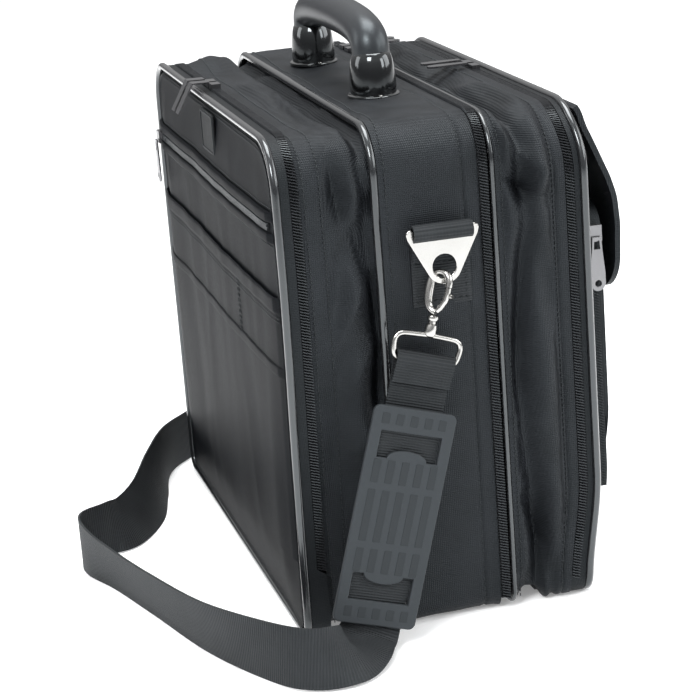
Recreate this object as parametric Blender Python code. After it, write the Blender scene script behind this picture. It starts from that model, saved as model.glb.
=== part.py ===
"""Soft-sided laptop flight bag: a firm main body, a zipped front compartment, a zipped rear section with a
flap pocket, a tubular carrying handle and a clip-on shoulder strap with its pad.

X runs along the bag's width, -Y is the front cover with the label, +Y is the rear flap pocket, +Z is up.
Every hinge of a cover lies along X. The bag stands on z = 0.
"""

from math import cos, pi, radians, sin

import bmesh
import bpy
import numpy as np
from mathutils import Matrix, Vector

# ---------------------------------------------------------------- driving dimensions, metres
HALF_WIDTH = 0.194          # half the width of the firm main body
HEIGHT = 0.334              # top of the main body
BODY_FRONT = -0.042         # front face of the main body
BODY_REAR = 0.0235          # open rear rim of the main body
GUSSET_FRONT = -0.0935      # front rim of the front gusset
PANEL_FRONT = -0.112        # outer face of the front cover
SECTION_FRONT = 0.0350      # front wall of the rear section
SECTION_REAR = 0.0815       # open rear rim of the rear section
REAR_FACE = 0.0975          # outer face of the rear cover
POCKET_FACE = 0.1135        # outer face of the rear pocket
FRONT_HINGE_Z = 0.047       # the front cover bends out above this height
REAR_HINGE_Z = 0.041        # the rear cover bends out above this height

WALL = 0.003                # padded fabric wall
GAP = 0.0003                # clearance between neighbouring pieces
CORNER = 0.030              # upper corner radius of the body outline
FOOT_CORNER = 0.012         # lower corner radius of the body outline
PIPING = 0.0022             # radius of the piping round the panels
SECTION_PIPING = 0.0016     # radius of the slim piping behind the main zip
ZIP_HALF = 0.003            # width of one half of a zip along Y
ZIP_DEPTH = 0.003           # how deep a zip half is, towards the inside

GRIP_RADIUS = 0.0125        # rubber handle tube
HANDLE_Y = -0.011           # the handle stands over the middle of the main body
HANDLE_SPAN = 0.082         # half the distance between the handle's legs
HANDLE_TOP = 0.3805         # centre line of the handle's top
CAP_TOP = 0.0285            # height of a handle end cap above the body

STRAP_WIDTH = 0.039
STRAP_THICK = 0.0016
RING_Z = 0.2655             # centre of the ring's bar in its webbing loop
RING_OUT = 0.2035           # how far out the rings hang, from the middle of the bag
HOOK_WIRE = 0.0021          # radius of the hook's wire
LOOP_WIRE = 0.00175         # radius of the strap loop's wire

# ---------------------------------------------------------------- scene and helpers


def clear_scene():
    for obj in list(bpy.data.objects):
        bpy.data.objects.remove(obj, do_unlink=True)


def material(name, colour, roughness, metallic=0.0):
    made = bpy.data.materials.new(name)
    made.use_nodes = True
    shader = made.node_tree.nodes["Principled BSDF"]
    shader.inputs["Base Color"].default_value = (*colour, 1.0)
    shader.inputs["Roughness"].default_value = roughness
    shader.inputs["Metallic"].default_value = metallic
    return made


def solid(name, points, faces, mat, origin=(0, 0, 0), matrix=None):
    """A closed mesh object. Points are world positions, and origin is where the object's own origin lies."""
    offset = Vector(origin)
    mesh = bpy.data.meshes.new(name)
    place = matrix or Matrix.Identity(4)
    mesh.from_pydata([place @ Vector(p) - offset for p in points], [], faces)
    work = bmesh.new()
    work.from_mesh(mesh)
    bmesh.ops.recalc_face_normals(work, faces=work.faces)
    work.to_mesh(mesh)
    work.free()
    mesh.materials.append(mat)
    obj = bpy.data.objects.new(name, mesh)
    obj.location = offset
    bpy.context.scene.collection.objects.link(obj)
    return obj


def loft(name, loops, mat, closed=False, **where):
    """Skins a row of point loops of equal length. The ends are capped, or joined where closed is set."""
    count = len(loops[0])
    points = [p for loop in loops for p in loop]
    faces = []
    rows = len(loops) if closed else len(loops) - 1
    for i in range(rows):
        here = i * count
        there = (i + 1) % len(loops) * count
        for j in range(count):
            k = (j + 1) % count
            faces.append((here + j, here + k, there + k, there + j))
    if not closed:
        faces.append(tuple(range(count)))
        faces.append(tuple(range((len(loops) - 1) * count, len(loops) * count)))
    return solid(name, points, faces, mat, **where)


def box(name, low, high, mat, **where):
    (x0, y0, z0), (x1, y1, z1) = low, high
    base = [(x0, y0), (x1, y0), (x1, y1), (x0, y1)]
    return loft(name, [[(x, y, z) for x, y in base] for z in (z0, z1)], mat, **where)


def tube(name, path, radius, mat, sides=8, closed=False, **where):
    """A round wire along a path, with a frame carried from point to point so that it doesn't twist."""
    path = [Vector(p) for p in path]
    count = len(path)
    loops = []
    side = None
    for i, here in enumerate(path):
        before = path[i - 1] if closed or i else here
        after = path[(i + 1) % count] if closed or i < count - 1 else here
        along = (after - before).normalized()
        if side is None:
            side = along.orthogonal().normalized()
        side = (side - along * side.dot(along)).normalized()
        other = along.cross(side)
        ring = [2 * pi * k / sides for k in range(sides)]
        loops.append([tuple(here + radius * (side * cos(t) + other * sin(t))) for t in ring])
    if closed:
        loops = untwisted(loops)
    return loft(name, loops, mat, closed=closed, **where)


def untwisted(loops):
    """Shares out the turn that the carried frame has gained when a closed wire comes back to its start."""
    sides = len(loops[0])
    last = np.array(loops[-1])
    first = np.array(loops[0])
    shift = min(range(sides), key=lambda k: float(((np.roll(last, -k, 0) - first) ** 2).sum()))
    return [list(map(tuple, np.roll(np.array(loop), -round(shift * i / (len(loops) - 1)), 0)))
            for i, loop in enumerate(loops)]


def arc(cx, cz, radius, start, end, steps):
    turns = [radians(start + (end - start) * i / steps) for i in range(steps + 1)]
    return [(cx + radius * cos(t), cz + radius * sin(t)) for t in turns]


def panel_outline(half, low, high, top_corner, low_corner, steps=4):
    """(x, z) points of an upright panel, anticlockwise from its lower right corner."""
    points = arc(half - low_corner, low + low_corner, low_corner, -90, 0, steps)
    points += arc(half - top_corner, high - top_corner, top_corner, 0, 90, steps)
    points += arc(-half + top_corner, high - top_corner, top_corner, 90, 180, steps)
    points += arc(-half + low_corner, low + low_corner, low_corner, 180, 270, steps)
    return points


def body_outline(inset=0.0, low=0.0, high=HEIGHT, half=HALF_WIDTH, low_corner=FOOT_CORNER):
    low_corner = max(low_corner - inset, 0.001)
    return panel_outline(half - inset, low + inset, high - inset, CORNER - inset, low_corner)


def at_y(outline, y):
    return [(x, y, z) for x, z in outline]


def u_path(half, high, low, corner, steps=5):
    """(x, z) points up the near side, over the top and down the far side."""
    points = [(half, low)]
    points += arc(half - corner, high - corner, corner, 0, 90, steps)
    points += arc(-half + corner, high - corner, corner, 90, 180, steps)
    return points + [(-half, low)]


def zip_band(name, half, high, low, y_low, y_high, mat, **where):
    """One half of a zip that runs up one end, over the top and down the other end."""
    outer = u_path(half, high, low, CORNER)
    inner = u_path(half - ZIP_DEPTH, high - ZIP_DEPTH, low, CORNER - ZIP_DEPTH)
    loops = []
    for (xo, zo), (xi, zi) in zip(outer, inner):
        loops.append([(xo, y_low, zo), (xo, y_high, zo), (xi, y_high, zi), (xi, y_low, zi)])
    return loft(name, loops, mat, **where)


def tray(name, outline_at, y_wall, y_rim, mat, wall=WALL, **where):
    """A case half: a wall at y_wall with sides that reach to the open rim at y_rim."""
    inwards = wall if y_rim > y_wall else -wall
    loops = [
        at_y(outline_at(0.0), y_wall),
        at_y(outline_at(0.0), y_rim),
        at_y(outline_at(wall), y_rim),
        at_y(outline_at(wall), y_wall + inwards),
    ]
    return loft(name, loops, mat, **where)


def strip(name, path, thick, low, high, mat, place, **where):
    """A sheet of even thickness that follows a path in one plane. place(p, q, w) puts a point in the world."""
    flat = [Vector(p) for p in path]
    loops = []
    for i, here in enumerate(flat):
        along = (flat[min(i + 1, len(flat) - 1)] - flat[max(i - 1, 0)]).normalized()
        across = Vector((-along.y, along.x)) * thick / 2
        one, two = here + across, here - across
        loops.append([place(*one, low), place(*one, high), place(*two, high), place(*two, low)])
    return loft(name, loops, mat, **where)


def cut(obj, cutter):
    cutter.hide_render = True
    cutter.display_type = "WIRE"
    step = obj.modifiers.new(cutter.name, "BOOLEAN")
    step.operation = "DIFFERENCE"
    step.solver = "EXACT"
    step.object = cutter


def join(obj, other):
    other.hide_render = True
    other.display_type = "WIRE"
    step = obj.modifiers.new(other.name, "BOOLEAN")
    step.operation = "UNION"
    step.solver = "EXACT"
    step.object = other


clear_scene()
SHELL = material("ballistic_nylon", (0.018, 0.018, 0.020), 0.80)
PANEL = material("panel_nylon", (0.025, 0.025, 0.028), 0.75)
LINING = material("lining", (0.05, 0.05, 0.055), 0.9)
PIPE = material("piping_vinyl", (0.01, 0.01, 0.011), 0.25)
COIL = material("zip_coil", (0.008, 0.008, 0.009), 0.45)
WEBBING = material("strap_webbing", (0.03, 0.03, 0.032), 0.85)
RUBBER = material("grip_rubber", (0.025, 0.025, 0.026), 0.6)
GLOSS = material("cap_plastic", (0.008, 0.008, 0.009), 0.15)
PADDING = material("pad_rubber", (0.06, 0.06, 0.062), 0.6)
LABEL = material("label_plain", (0.02, 0.02, 0.021), 0.4)
NICKEL = material("nickel", (0.75, 0.74, 0.72), 0.2, 1.0)
GUNMETAL = material("gunmetal", (0.35, 0.35, 0.36), 0.3, 1.0)

# ---------------------------------------------------------------- main body

tray("main_body", lambda inset: body_outline(inset), BODY_FRONT, BODY_REAR, SHELL)
piping_path = panel_outline(HALF_WIDTH - 0.0015, 0.0037, HEIGHT - 0.0015, CORNER, FOOT_CORNER, 5)
main_piping_y = BODY_FRONT - GAP - PIPING
tube("main_piping", at_y(piping_path, main_piping_y), PIPING, PIPE, sides=6, closed=True)
zip_band("main_zip_inner", HALF_WIDTH, HEIGHT, 0.008, BODY_REAR + GAP, BODY_REAR + GAP + ZIP_HALF, COIL)

DIVIDER_Y = -0.010
box("laptop_divider", (-0.178, DIVIDER_Y, WALL + GAP), (0.178, DIVIDER_Y + 0.006, 0.285), LINING)

# ---------------------------------------------------------------- front compartment

GUSSET_HALF = 0.1892
GUSSET_LOW = 0.0064
GUSSET_TOP = 0.3270


def gusset_outline(inset):
    return body_outline(inset, low=GUSSET_LOW, high=GUSSET_TOP, half=GUSSET_HALF)


gusset_loops = [
    at_y(gusset_outline(0.0), BODY_FRONT - GAP),
    at_y(gusset_outline(0.0), GUSSET_FRONT),
    at_y(gusset_outline(WALL), GUSSET_FRONT),
    at_y(gusset_outline(WALL), BODY_FRONT - GAP),
]
loft("front_gusset", gusset_loops, SHELL, closed=True)

FRONT_ZIP_HALF = 0.1905
FRONT_ZIP_TOP = 0.3315
front_zip_y = GUSSET_FRONT - GAP
front_cover_zip_y = front_zip_y - ZIP_HALF - GAP
front_zip_low = FRONT_HINGE_Z + 0.001
front_axis = (0.0, PANEL_FRONT - 0.0005, FRONT_HINGE_Z)
zip_band("front_zip_inner", FRONT_ZIP_HALF, FRONT_ZIP_TOP, front_zip_low,
         front_zip_y - ZIP_HALF, front_zip_y, COIL)
zip_band("front_zip_outer", FRONT_ZIP_HALF, FRONT_ZIP_TOP, front_zip_low,
         front_cover_zip_y - ZIP_HALF, front_cover_zip_y, COIL, origin=front_axis)

COVER_HALF = 0.1925
COVER_TOP = 0.3315
COVER_STEP = 0.0033         # the panel's face is this much smaller than its border band
cover_back = front_cover_zip_y - ZIP_HALF - GAP
cover_step_y = PANEL_FRONT + 0.0055


def cover_loops(low, high, top_corner, low_corner, back, step_y, face_y):
    """A cover: a border band, then a smaller face that stands out inside the piping."""
    def ring(inset, y):
        corners = (max(top_corner - inset, 0.001), max(low_corner - inset, 0.001))
        return at_y(panel_outline(COVER_HALF - inset, low, high - inset, *corners), y)
    return [ring(0.0, back), ring(0.0, step_y), ring(COVER_STEP, step_y), ring(2 * COVER_STEP, face_y)]


loft("front_panel",
     cover_loops(FRONT_HINGE_Z + 0.0005, COVER_TOP, CORNER, 0.001, cover_back, cover_step_y, PANEL_FRONT),
     PANEL, origin=front_axis)
foot_back = GUSSET_FRONT - GAP
loft("front_foot",
     cover_loops(0.0, FRONT_HINGE_Z - 0.0005, 0.001, FOOT_CORNER, foot_back, cover_step_y, PANEL_FRONT + 0.003),
     PANEL)
front_piping_y = cover_step_y - GAP - PIPING
front_piping_path = u_path(COVER_HALF, COVER_TOP, FRONT_HINGE_Z + 0.003, CORNER, 5)
tube("front_piping", at_y(front_piping_path, front_piping_y), PIPING, PIPE, sides=6, origin=front_axis)

POCKET_ZIP_Z = 0.2780
pocket_zip_y = PANEL_FRONT - GAP
box("pocket_zip", (-0.178, pocket_zip_y - 0.002, POCKET_ZIP_Z - 0.0055),
    (0.178, pocket_zip_y, POCKET_ZIP_Z + 0.0055), COIL, origin=front_axis)
box("slip_pocket", (-0.181, pocket_zip_y - 0.0025, 0.051), (0.181, pocket_zip_y, 0.232), PANEL,
    origin=front_axis)
box("label_patch", (-0.010, pocket_zip_y - 0.0014, 0.2950), (0.032, pocket_zip_y, 0.3245), LABEL,
    origin=front_axis)

# ---------------------------------------------------------------- rear section, its cover, pocket and flap

SECTION_TOP = 0.3320
section_axis = (0.0, REAR_FACE - 0.001, 0.0)
rear_axis = (0.0, REAR_FACE + 0.0005, REAR_HINGE_Z)
main_outer_zip_y = BODY_REAR + GAP + ZIP_HALF + GAP
zip_band("main_zip_outer", HALF_WIDTH, HEIGHT, 0.008, main_outer_zip_y, main_outer_zip_y + ZIP_HALF, COIL,
         origin=section_axis)
section_piping_y = SECTION_FRONT - GAP - SECTION_PIPING
section_piping_path = panel_outline(HALF_WIDTH, 0.0023, HEIGHT - 0.001, CORNER, FOOT_CORNER, 4)
tube("section_piping", at_y(section_piping_path, section_piping_y), SECTION_PIPING, PIPE, sides=6,
     closed=True, origin=section_axis)
tray("rear_section", lambda inset: body_outline(inset, high=SECTION_TOP), SECTION_FRONT, SECTION_REAR,
     SHELL, origin=section_axis)
box("organiser_panel", (-0.178, 0.052, WALL + GAP), (0.178, 0.056, 0.250), LINING, origin=section_axis)

REAR_ZIP_TOP = 0.3300
rear_zip_y = SECTION_REAR + GAP
rear_cover_zip_y = rear_zip_y + ZIP_HALF + GAP
zip_band("rear_zip_inner", COVER_HALF, REAR_ZIP_TOP, REAR_HINGE_Z + 0.001,
         rear_zip_y, rear_zip_y + ZIP_HALF, COIL, origin=section_axis)
zip_band("rear_zip_outer", COVER_HALF, REAR_ZIP_TOP, REAR_HINGE_Z + 0.001,
         rear_cover_zip_y, rear_cover_zip_y + ZIP_HALF, COIL, origin=rear_axis)
rear_back = rear_cover_zip_y + ZIP_HALF + GAP
rear_step_y = REAR_FACE - 0.0050
loft("rear_panel",
     cover_loops(REAR_HINGE_Z + 0.0005, COVER_TOP, CORNER, 0.001, rear_back, rear_step_y, REAR_FACE),
     PANEL, origin=rear_axis)
loft("rear_foot",
     cover_loops(0.0, REAR_HINGE_Z - 0.0005, 0.001, FOOT_CORNER, rear_zip_y, rear_step_y, REAR_FACE - 0.002),
     PANEL, origin=section_axis)
rear_piping_y = rear_step_y + GAP + PIPING
rear_piping_path = u_path(COVER_HALF, COVER_TOP, REAR_HINGE_Z + 0.003, CORNER, 5)
tube("rear_piping", at_y(rear_piping_path, rear_piping_y), PIPING, PIPE, sides=6, origin=rear_axis)

POCKET_HALF = 0.172
POCKET_LOW = 0.045
POCKET_TOP = 0.262


def pocket_outline(inset):
    low, high = POCKET_LOW + inset, POCKET_TOP - inset
    return panel_outline(POCKET_HALF - inset, low, high, 0.020 - inset, 0.020 - inset, 3)


tray("rear_pocket", pocket_outline, POCKET_FACE, REAR_FACE + GAP, PANEL, wall=0.0025, origin=rear_axis)
SIDE_ZIP_Y = 0.1065
side_zip_x = POCKET_HALF + GAP
box("side_zip", (side_zip_x, SIDE_ZIP_Y - 0.003, 0.068), (side_zip_x + 0.002, SIDE_ZIP_Y + 0.003, 0.240),
    COIL, origin=rear_axis)

FLAP_HALF = 0.170
flap_axis = (0.0, 0.0982, 0.3285)
flap_path = [(0.1005, 0.3270), (0.1045, 0.3140), (0.1130, 0.2960), (0.1205, 0.2800), (0.1243, 0.2660)]
flap_path += [(0.1250, 0.2480), (0.1232, 0.2240), (0.1200, 0.2000)]
strip("flap", flap_path, 0.004, -FLAP_HALF, FLAP_HALF, PANEL, lambda y, z, x: (x, y, z), origin=flap_axis)

# ---------------------------------------------------------------- carrying handle


def handle_path():
    """Up from the far cap, over the top and down to the near cap, as a flattened arch."""
    leg_top = HEIGHT + CAP_TOP + GAP
    rise = HANDLE_TOP - leg_top
    points = []
    for i in range(19):
        turn = pi * i / 18
        x = -HANDLE_SPAN * np.sign(cos(turn)) * abs(cos(turn)) ** 0.75
        points.append((x, HANDLE_Y, leg_top + rise * sin(turn) ** 0.62))
    return points


def square_ends(path, drop):
    """Starts and ends the path straight down, so that the end faces lie level."""
    return [Vector(path[0]), *map(Vector, path[1:-1]), Vector(path[-1])] if drop <= 0 else [
        Vector(path[0]), Vector(path[0]) + Vector((0, 0, drop)), *map(Vector, path[2:-2]),
        Vector(path[-1]) + Vector((0, 0, drop)), Vector(path[-1])]


tube("handle_grip", square_ends(handle_path(), 0.004), GRIP_RADIUS, RUBBER, sides=12)


def handle_cap(name, x):
    """A turned end cap: an oval foot on the bag, a waist and a collar under the grip."""
    rings = [(0.0, 0.0210, 0.0165), (0.0030, 0.0210, 0.0165), (0.0060, 0.0165, 0.0150)]
    rings += [(0.0120, 0.0145, 0.0145), (0.0230, 0.0150, 0.0150), (CAP_TOP, 0.0138, 0.0138)]
    loops = []
    for up, across, deep in rings:
        z = HEIGHT + GAP + up - (0.0 if up < CAP_TOP else GAP)
        turns = [2 * pi * k / 16 for k in range(16)]
        loops.append([(x + across * cos(t), HANDLE_Y + deep * sin(t), z) for t in turns])
    return loft(name, loops, GLOSS)


handle_cap("handle_cap_near", HANDLE_SPAN)
handle_cap("handle_cap_far", -HANDLE_SPAN)

# ---------------------------------------------------------------- sliders and pullers


def puller(name, hinge, hang, face, mat, length=0.034, wide=0.0105, thick=0.0014):
    """A pierced pull tab that hangs from hinge in the direction hang, with its flat side along face."""
    down = Vector(hang).normalized()
    out = Vector(face).normalized()
    across = down.cross(out)
    place = Matrix.Translation(Vector(hinge)) @ Matrix((across, out, down)).transposed().to_4x4()
    outline = [(-wide * 0.34, 0.001), (-wide * 0.40, 0.010), (-wide / 2, length - 0.008)]
    outline += [(-x, z) for x, z in arc(0.0, length - wide / 2, wide / 2, 0, 180, 5)][1:-1]
    outline += [(wide / 2, length - 0.008), (wide * 0.40, 0.010), (wide * 0.34, 0.001)]
    loops = [[(x, y, z) for x, z in outline] for y in (-thick / 2, thick / 2)]
    return loft(name, loops, mat, matrix=place, origin=hinge)


def slider(name, low, high, mat=GUNMETAL):
    middle = [(a + b) / 2 for a, b in zip(low, high)]
    return box(name, low, high, mat, origin=middle)


FRONT_SLIDERS = (-0.0300, -0.0450)
MAIN_SLIDERS = (-0.1180, -0.1330)
REAR_SLIDERS = (0.0030, -0.0130)
SLIDER_LONG = 0.011
SLIDER_HIGH = 0.0030
PULL_LIFT = 0.0013          # a puller's hinge above its slider

front_slider_y = front_zip_y - ZIP_HALF - GAP / 2
for i, x in enumerate(FRONT_SLIDERS, 1):
    low_z = FRONT_ZIP_TOP + GAP
    slider(f"front_slider_{i}", (x - SLIDER_LONG / 2, front_slider_y - 0.0029, low_z),
           (x + SLIDER_LONG / 2, front_slider_y + 0.0035, low_z + SLIDER_HIGH + 0.0015))
    hinge = (x, front_slider_y - 0.0045, low_z + SLIDER_HIGH + 0.0015 + PULL_LIFT)
    tab = [hinge[1:], (-0.1135, hinge[2] + 0.0004), (-0.1250, 0.3175)]
    strip(f"front_puller_{i}", tab, 0.0013, x - 0.0050, x + 0.0050, GUNMETAL,
          lambda y, z, across: (across, y, z), origin=hinge)

main_slider_y = main_outer_zip_y - GAP / 2
for i, x in enumerate(MAIN_SLIDERS, 1):
    low_z = HEIGHT + GAP
    slider(f"main_slider_{i}", (x - SLIDER_LONG / 2, main_slider_y - 0.0038, low_z),
           (x + SLIDER_LONG / 2, main_slider_y + 0.0038, low_z + SLIDER_HIGH))
    hinge = (x, main_slider_y + 0.0045, low_z + SLIDER_HIGH + PULL_LIFT)
    puller(f"main_puller_{i}", hinge, (0, 1, 0), (0, 0, 1), GUNMETAL)

rear_slider_y = rear_cover_zip_y - GAP / 2
for i, x in enumerate(REAR_SLIDERS, 1):
    low_z = REAR_ZIP_TOP + GAP
    slider(f"rear_slider_{i}", (x - SLIDER_LONG / 2, rear_slider_y - 0.0029, low_z),
           (x + SLIDER_LONG / 2, rear_slider_y + 0.0029, low_z + SLIDER_HIGH + 0.0010))
    hinge = (x, rear_slider_y - 0.0045, low_z + SLIDER_HIGH + 0.0010 + PULL_LIFT)
    puller(f"rear_puller_{i}", hinge, (0, -1, 0), (0, 0, 1), GUNMETAL, length=0.030, wide=0.009)

POCKET_SLIDER_X = -0.1660
pocket_slider_y = pocket_zip_y - 0.002 - GAP
slider("pocket_slider", (POCKET_SLIDER_X - 0.0055, pocket_slider_y - 0.0035, POCKET_ZIP_Z - 0.0045),
       (POCKET_SLIDER_X + 0.0055, pocket_slider_y, POCKET_ZIP_Z + 0.0045))
puller("pocket_puller", (POCKET_SLIDER_X, pocket_slider_y - 0.0035 - PULL_LIFT, POCKET_ZIP_Z - 0.001),
       (0, 0, -1), (0, -1, 0), GUNMETAL)

SIDE_SLIDER_Z = 0.2440
side_slider_x = side_zip_x + 0.002 + GAP
slider("side_slider", (side_slider_x, SIDE_ZIP_Y - 0.0045, SIDE_SLIDER_Z - 0.0055),
       (side_slider_x + 0.0035, SIDE_ZIP_Y + 0.0045, SIDE_SLIDER_Z + 0.0055), NICKEL)
puller("side_puller", (side_slider_x + 0.0035 + PULL_LIFT, SIDE_ZIP_Y, SIDE_SLIDER_Z - 0.001),
       (0, 0, -1), (1, 0, 0), NICKEL, length=0.037)

# ---------------------------------------------------------------- strap fittings, one set at each end

RING_Y = -0.005             # middle of the webbing patch and of the ring
HOLE_Z = 0.2430             # centre of the ring's round hole
HOLE_RADIUS = 0.008
HOOK_TOP_Z = 0.2392         # centre of the hook's wire where it passes through the ring
HOOK_HALF = 0.0066          # half the width of the hook's oval
HOOK_TURN = 45.0            # how far the hook is turned about its own axis, degrees
LOOP_HALF = 0.0219          # half the width of the strap's wire loop
LOOP_TOP = -0.0415          # along the strap, down from the hook's top
LOOP_LOW = -0.0625
END_LOW = -0.0880           # where the sewn end of the strap stops
STRAP_START = 0.0925        # where the plain strap starts, behind the pad


def webbing_patch(name, side):
    """Webbing sewn flat on the bag's end, with its top folded round the ring's bar."""
    out, turn = RING_OUT, 0.0033
    path = [(HALF_WIDTH + 0.0015, 0.2160), (HALF_WIDTH + 0.0015, 0.2555), (out - 0.0052, 0.2610)]
    path += arc(out, RING_Z, turn, 180, -90, 7)
    path += [(out - 0.0040, 0.2600), (HALF_WIDTH + 0.0042, 0.2560), (HALF_WIDTH + 0.0040, 0.2470)]
    return strip(name, path, STRAP_THICK, RING_Y - 0.0195, RING_Y + 0.0195, WEBBING,
                 lambda x, z, y: (side * x, y, z))


def ring(name, side):
    """Flat triangular ring: a bar in the webbing loop, sloping sides, and a plate with a round hole."""
    origin = (side * RING_OUT, RING_Y, RING_Z)
    half_thick = 0.0011
    outline = [(-0.0237, RING_Z + 0.0017), (-0.0237, RING_Z - 0.0055)]
    outline += arc(0.0, HOLE_Z, 0.0118, 205, 335, 8)
    outline += [(0.0237, RING_Z - 0.0055), (0.0237, RING_Z + 0.0017)]
    plate = loft(name, [[(side * (RING_OUT + x), RING_Y + y, z) for y, z in outline]
                        for x in (-half_thick, half_thick)], NICKEL, origin=origin)
    hole = loft(name + "_hole", [[(side * (RING_OUT + x), RING_Y + y, z)
                                  for y, z in arc(0.0, HOLE_Z, HOLE_RADIUS, 0, 345, 23)]
                                 for x in (-0.01, 0.01)], NICKEL)
    slot = box(name + "_slot", (side * RING_OUT - 0.01, RING_Y - 0.0206, RING_Z - 0.0063),
               (side * RING_OUT + 0.01, RING_Y + 0.0206, RING_Z - 0.0017), NICKEL)
    cut(plate, hole)
    cut(plate, slot)
    return plate


def strap_frame(top, down, outward):
    """Axes of a hanging strap: its normal, its width and up along it, with the hook's top as origin."""
    up = -Vector(down).normalized()
    normal = (Vector(outward) - up * Vector(outward).dot(up)).normalized()
    width = up.cross(normal)
    return Matrix.Translation(Vector(top)) @ Matrix((normal, width, up)).transposed().to_4x4()


def in_hook_plane(points):
    """Turns (across, up) points of the hook into the strap's own axes."""
    turn = radians(HOOK_TURN)
    return [(p * cos(turn), p * sin(turn), q) for p, q in points]


def hook(name, frame):
    """The open body of a trigger hook, as a bent wire."""
    low = 0.0260 - HOOK_HALF
    path = arc(0.0, -low, HOOK_HALF, -12, -180, 6)
    path += arc(0.0, -HOOK_HALF, HOOK_HALF, 180, 0, 7)
    path += [(HOOK_HALF, -0.0085)]
    return tube(name, in_hook_plane(path), HOOK_WIRE, NICKEL, sides=8, matrix=frame,
                origin=frame @ Vector((0, 0, 0)))


def gate(name, frame):
    """The sprung lever that closes the hook, with its thumb stud."""
    pivot = frame @ Vector(in_hook_plane([(HOOK_HALF, -0.0185)])[0])
    lever = tube(name, in_hook_plane([(HOOK_HALF, -0.0110), (HOOK_HALF, -0.0185)]), 0.0017, NICKEL,
                 sides=8, matrix=frame, origin=pivot)
    stud = tube(name + "_stud", in_hook_plane([(HOOK_HALF, -0.0150), (HOOK_HALF + 0.0045, -0.0135)]),
                0.0011, NICKEL, sides=8, matrix=frame)
    join(lever, stud)
    return lever


def swivel(name, frame):
    """The barrel under the hook and the wire loop that holds the strap."""
    barrel = tube(name, [(0, 0, -0.0284), (0, 0, -0.0330), (0, 0, LOOP_TOP - 0.0012)], 0.0036, NICKEL,
                  sides=12, matrix=frame, origin=frame @ Vector((0, 0, -0.0284)))
    outline = panel_outline(LOOP_HALF, LOOP_LOW, LOOP_TOP, 0.0060, 0.0022, 3)
    wire = tube(name + "_wire", [(0.0, y, z) for y, z in outline], LOOP_WIRE, NICKEL, sides=8, closed=True,
                matrix=frame)
    join(barrel, wire)
    return barrel


def strap_end(name, frame):
    """The strap's end folded over the loop's lower bar and sewn back on itself."""
    path = [(0.00105, END_LOW), (0.0012, -0.0730), (0.0030, LOOP_LOW - 0.0010)]
    path += arc(0.0, LOOP_LOW, 0.0031, 0, 180, 6)
    path += [(-0.0030, LOOP_LOW - 0.0010), (-0.0012, -0.0730), (-0.00105, END_LOW)]
    return strip(name, path, STRAP_THICK, -STRAP_WIDTH / 2, STRAP_WIDTH / 2, WEBBING,
                 lambda x, z, y: (x, y, z), matrix=frame)


NEAR_TOP = (RING_OUT, -0.0065, HOOK_TOP_Z)
NEAR_DOWN = Vector((0.0185, -0.0679, -0.2220)).normalized()
FAR_TOP = (-RING_OUT, -0.0050, HOOK_TOP_Z)
FAR_DOWN = Vector((-0.0900, -0.0300, -0.9950)).normalized()
near_frame = strap_frame(NEAR_TOP, NEAR_DOWN, (1, 0, 0))
far_frame = strap_frame(FAR_TOP, FAR_DOWN, (-1, 0, 0))
for which, side, frame in (("near", 1, near_frame), ("far", -1, far_frame)):
    webbing_patch(f"{which}_webbing_patch", side)
    ring(f"{which}_ring", side)
    hook(f"{which}_hook", frame)
    gate(f"{which}_hook_gate", frame)
    swivel(f"{which}_swivel_loop", frame)
    strap_end(f"{which}_strap_end", frame)

# ---------------------------------------------------------------- shoulder strap and what is on it

PAD_TOP = -0.0890           # along the near strap, down from the hook's top
PAD_LONG = 0.1430
PAD_HALF = 0.0280
PAD_FRONT = 0.0050          # outer face of the pad, out from the strap's middle
PAD_BACK = 0.0022


def shoulder_pad(name):
    """A moulded pad with two windows, through which the strap behind it shows."""
    low = PAD_TOP - PAD_LONG
    outline = panel_outline(PAD_HALF, low, PAD_TOP, 0.004, 0.004, 2)
    pad = loft(name, [[(x, y, z) for y, z in outline] for x in (PAD_BACK, PAD_FRONT)], PADDING,
               matrix=near_frame, origin=near_frame @ Vector((0, 0, PAD_TOP - PAD_LONG / 2)))
    for i, start in enumerate((0.0160, PAD_LONG - 0.0160 - 0.0170)):
        z_top = PAD_TOP - start
        window = box(f"{name}_window_{i}", (-0.01, -0.0195, z_top - 0.0170), (0.02, 0.0195, z_top), PADDING,
                     matrix=near_frame)
        cut(pad, window)
    return pad


def strap_adjuster(name):
    """A flat wire slide on the strap, just below the pad."""
    low = PAD_TOP - PAD_LONG
    outline = panel_outline(0.0220, low - 0.0010, low + 0.0140, 0.004, 0.004, 2)
    return tube(name, [(-0.0038, y, z) for y, z in outline], 0.0014, NICKEL, sides=6, closed=True,
                matrix=near_frame, origin=near_frame @ Vector((0, 0, low)))


def on_strap(frame, down):
    here = frame @ Vector((0, 0, down))
    width = frame.to_3x3() @ Vector((0, 1, 0))
    return (*here, *width)


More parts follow.
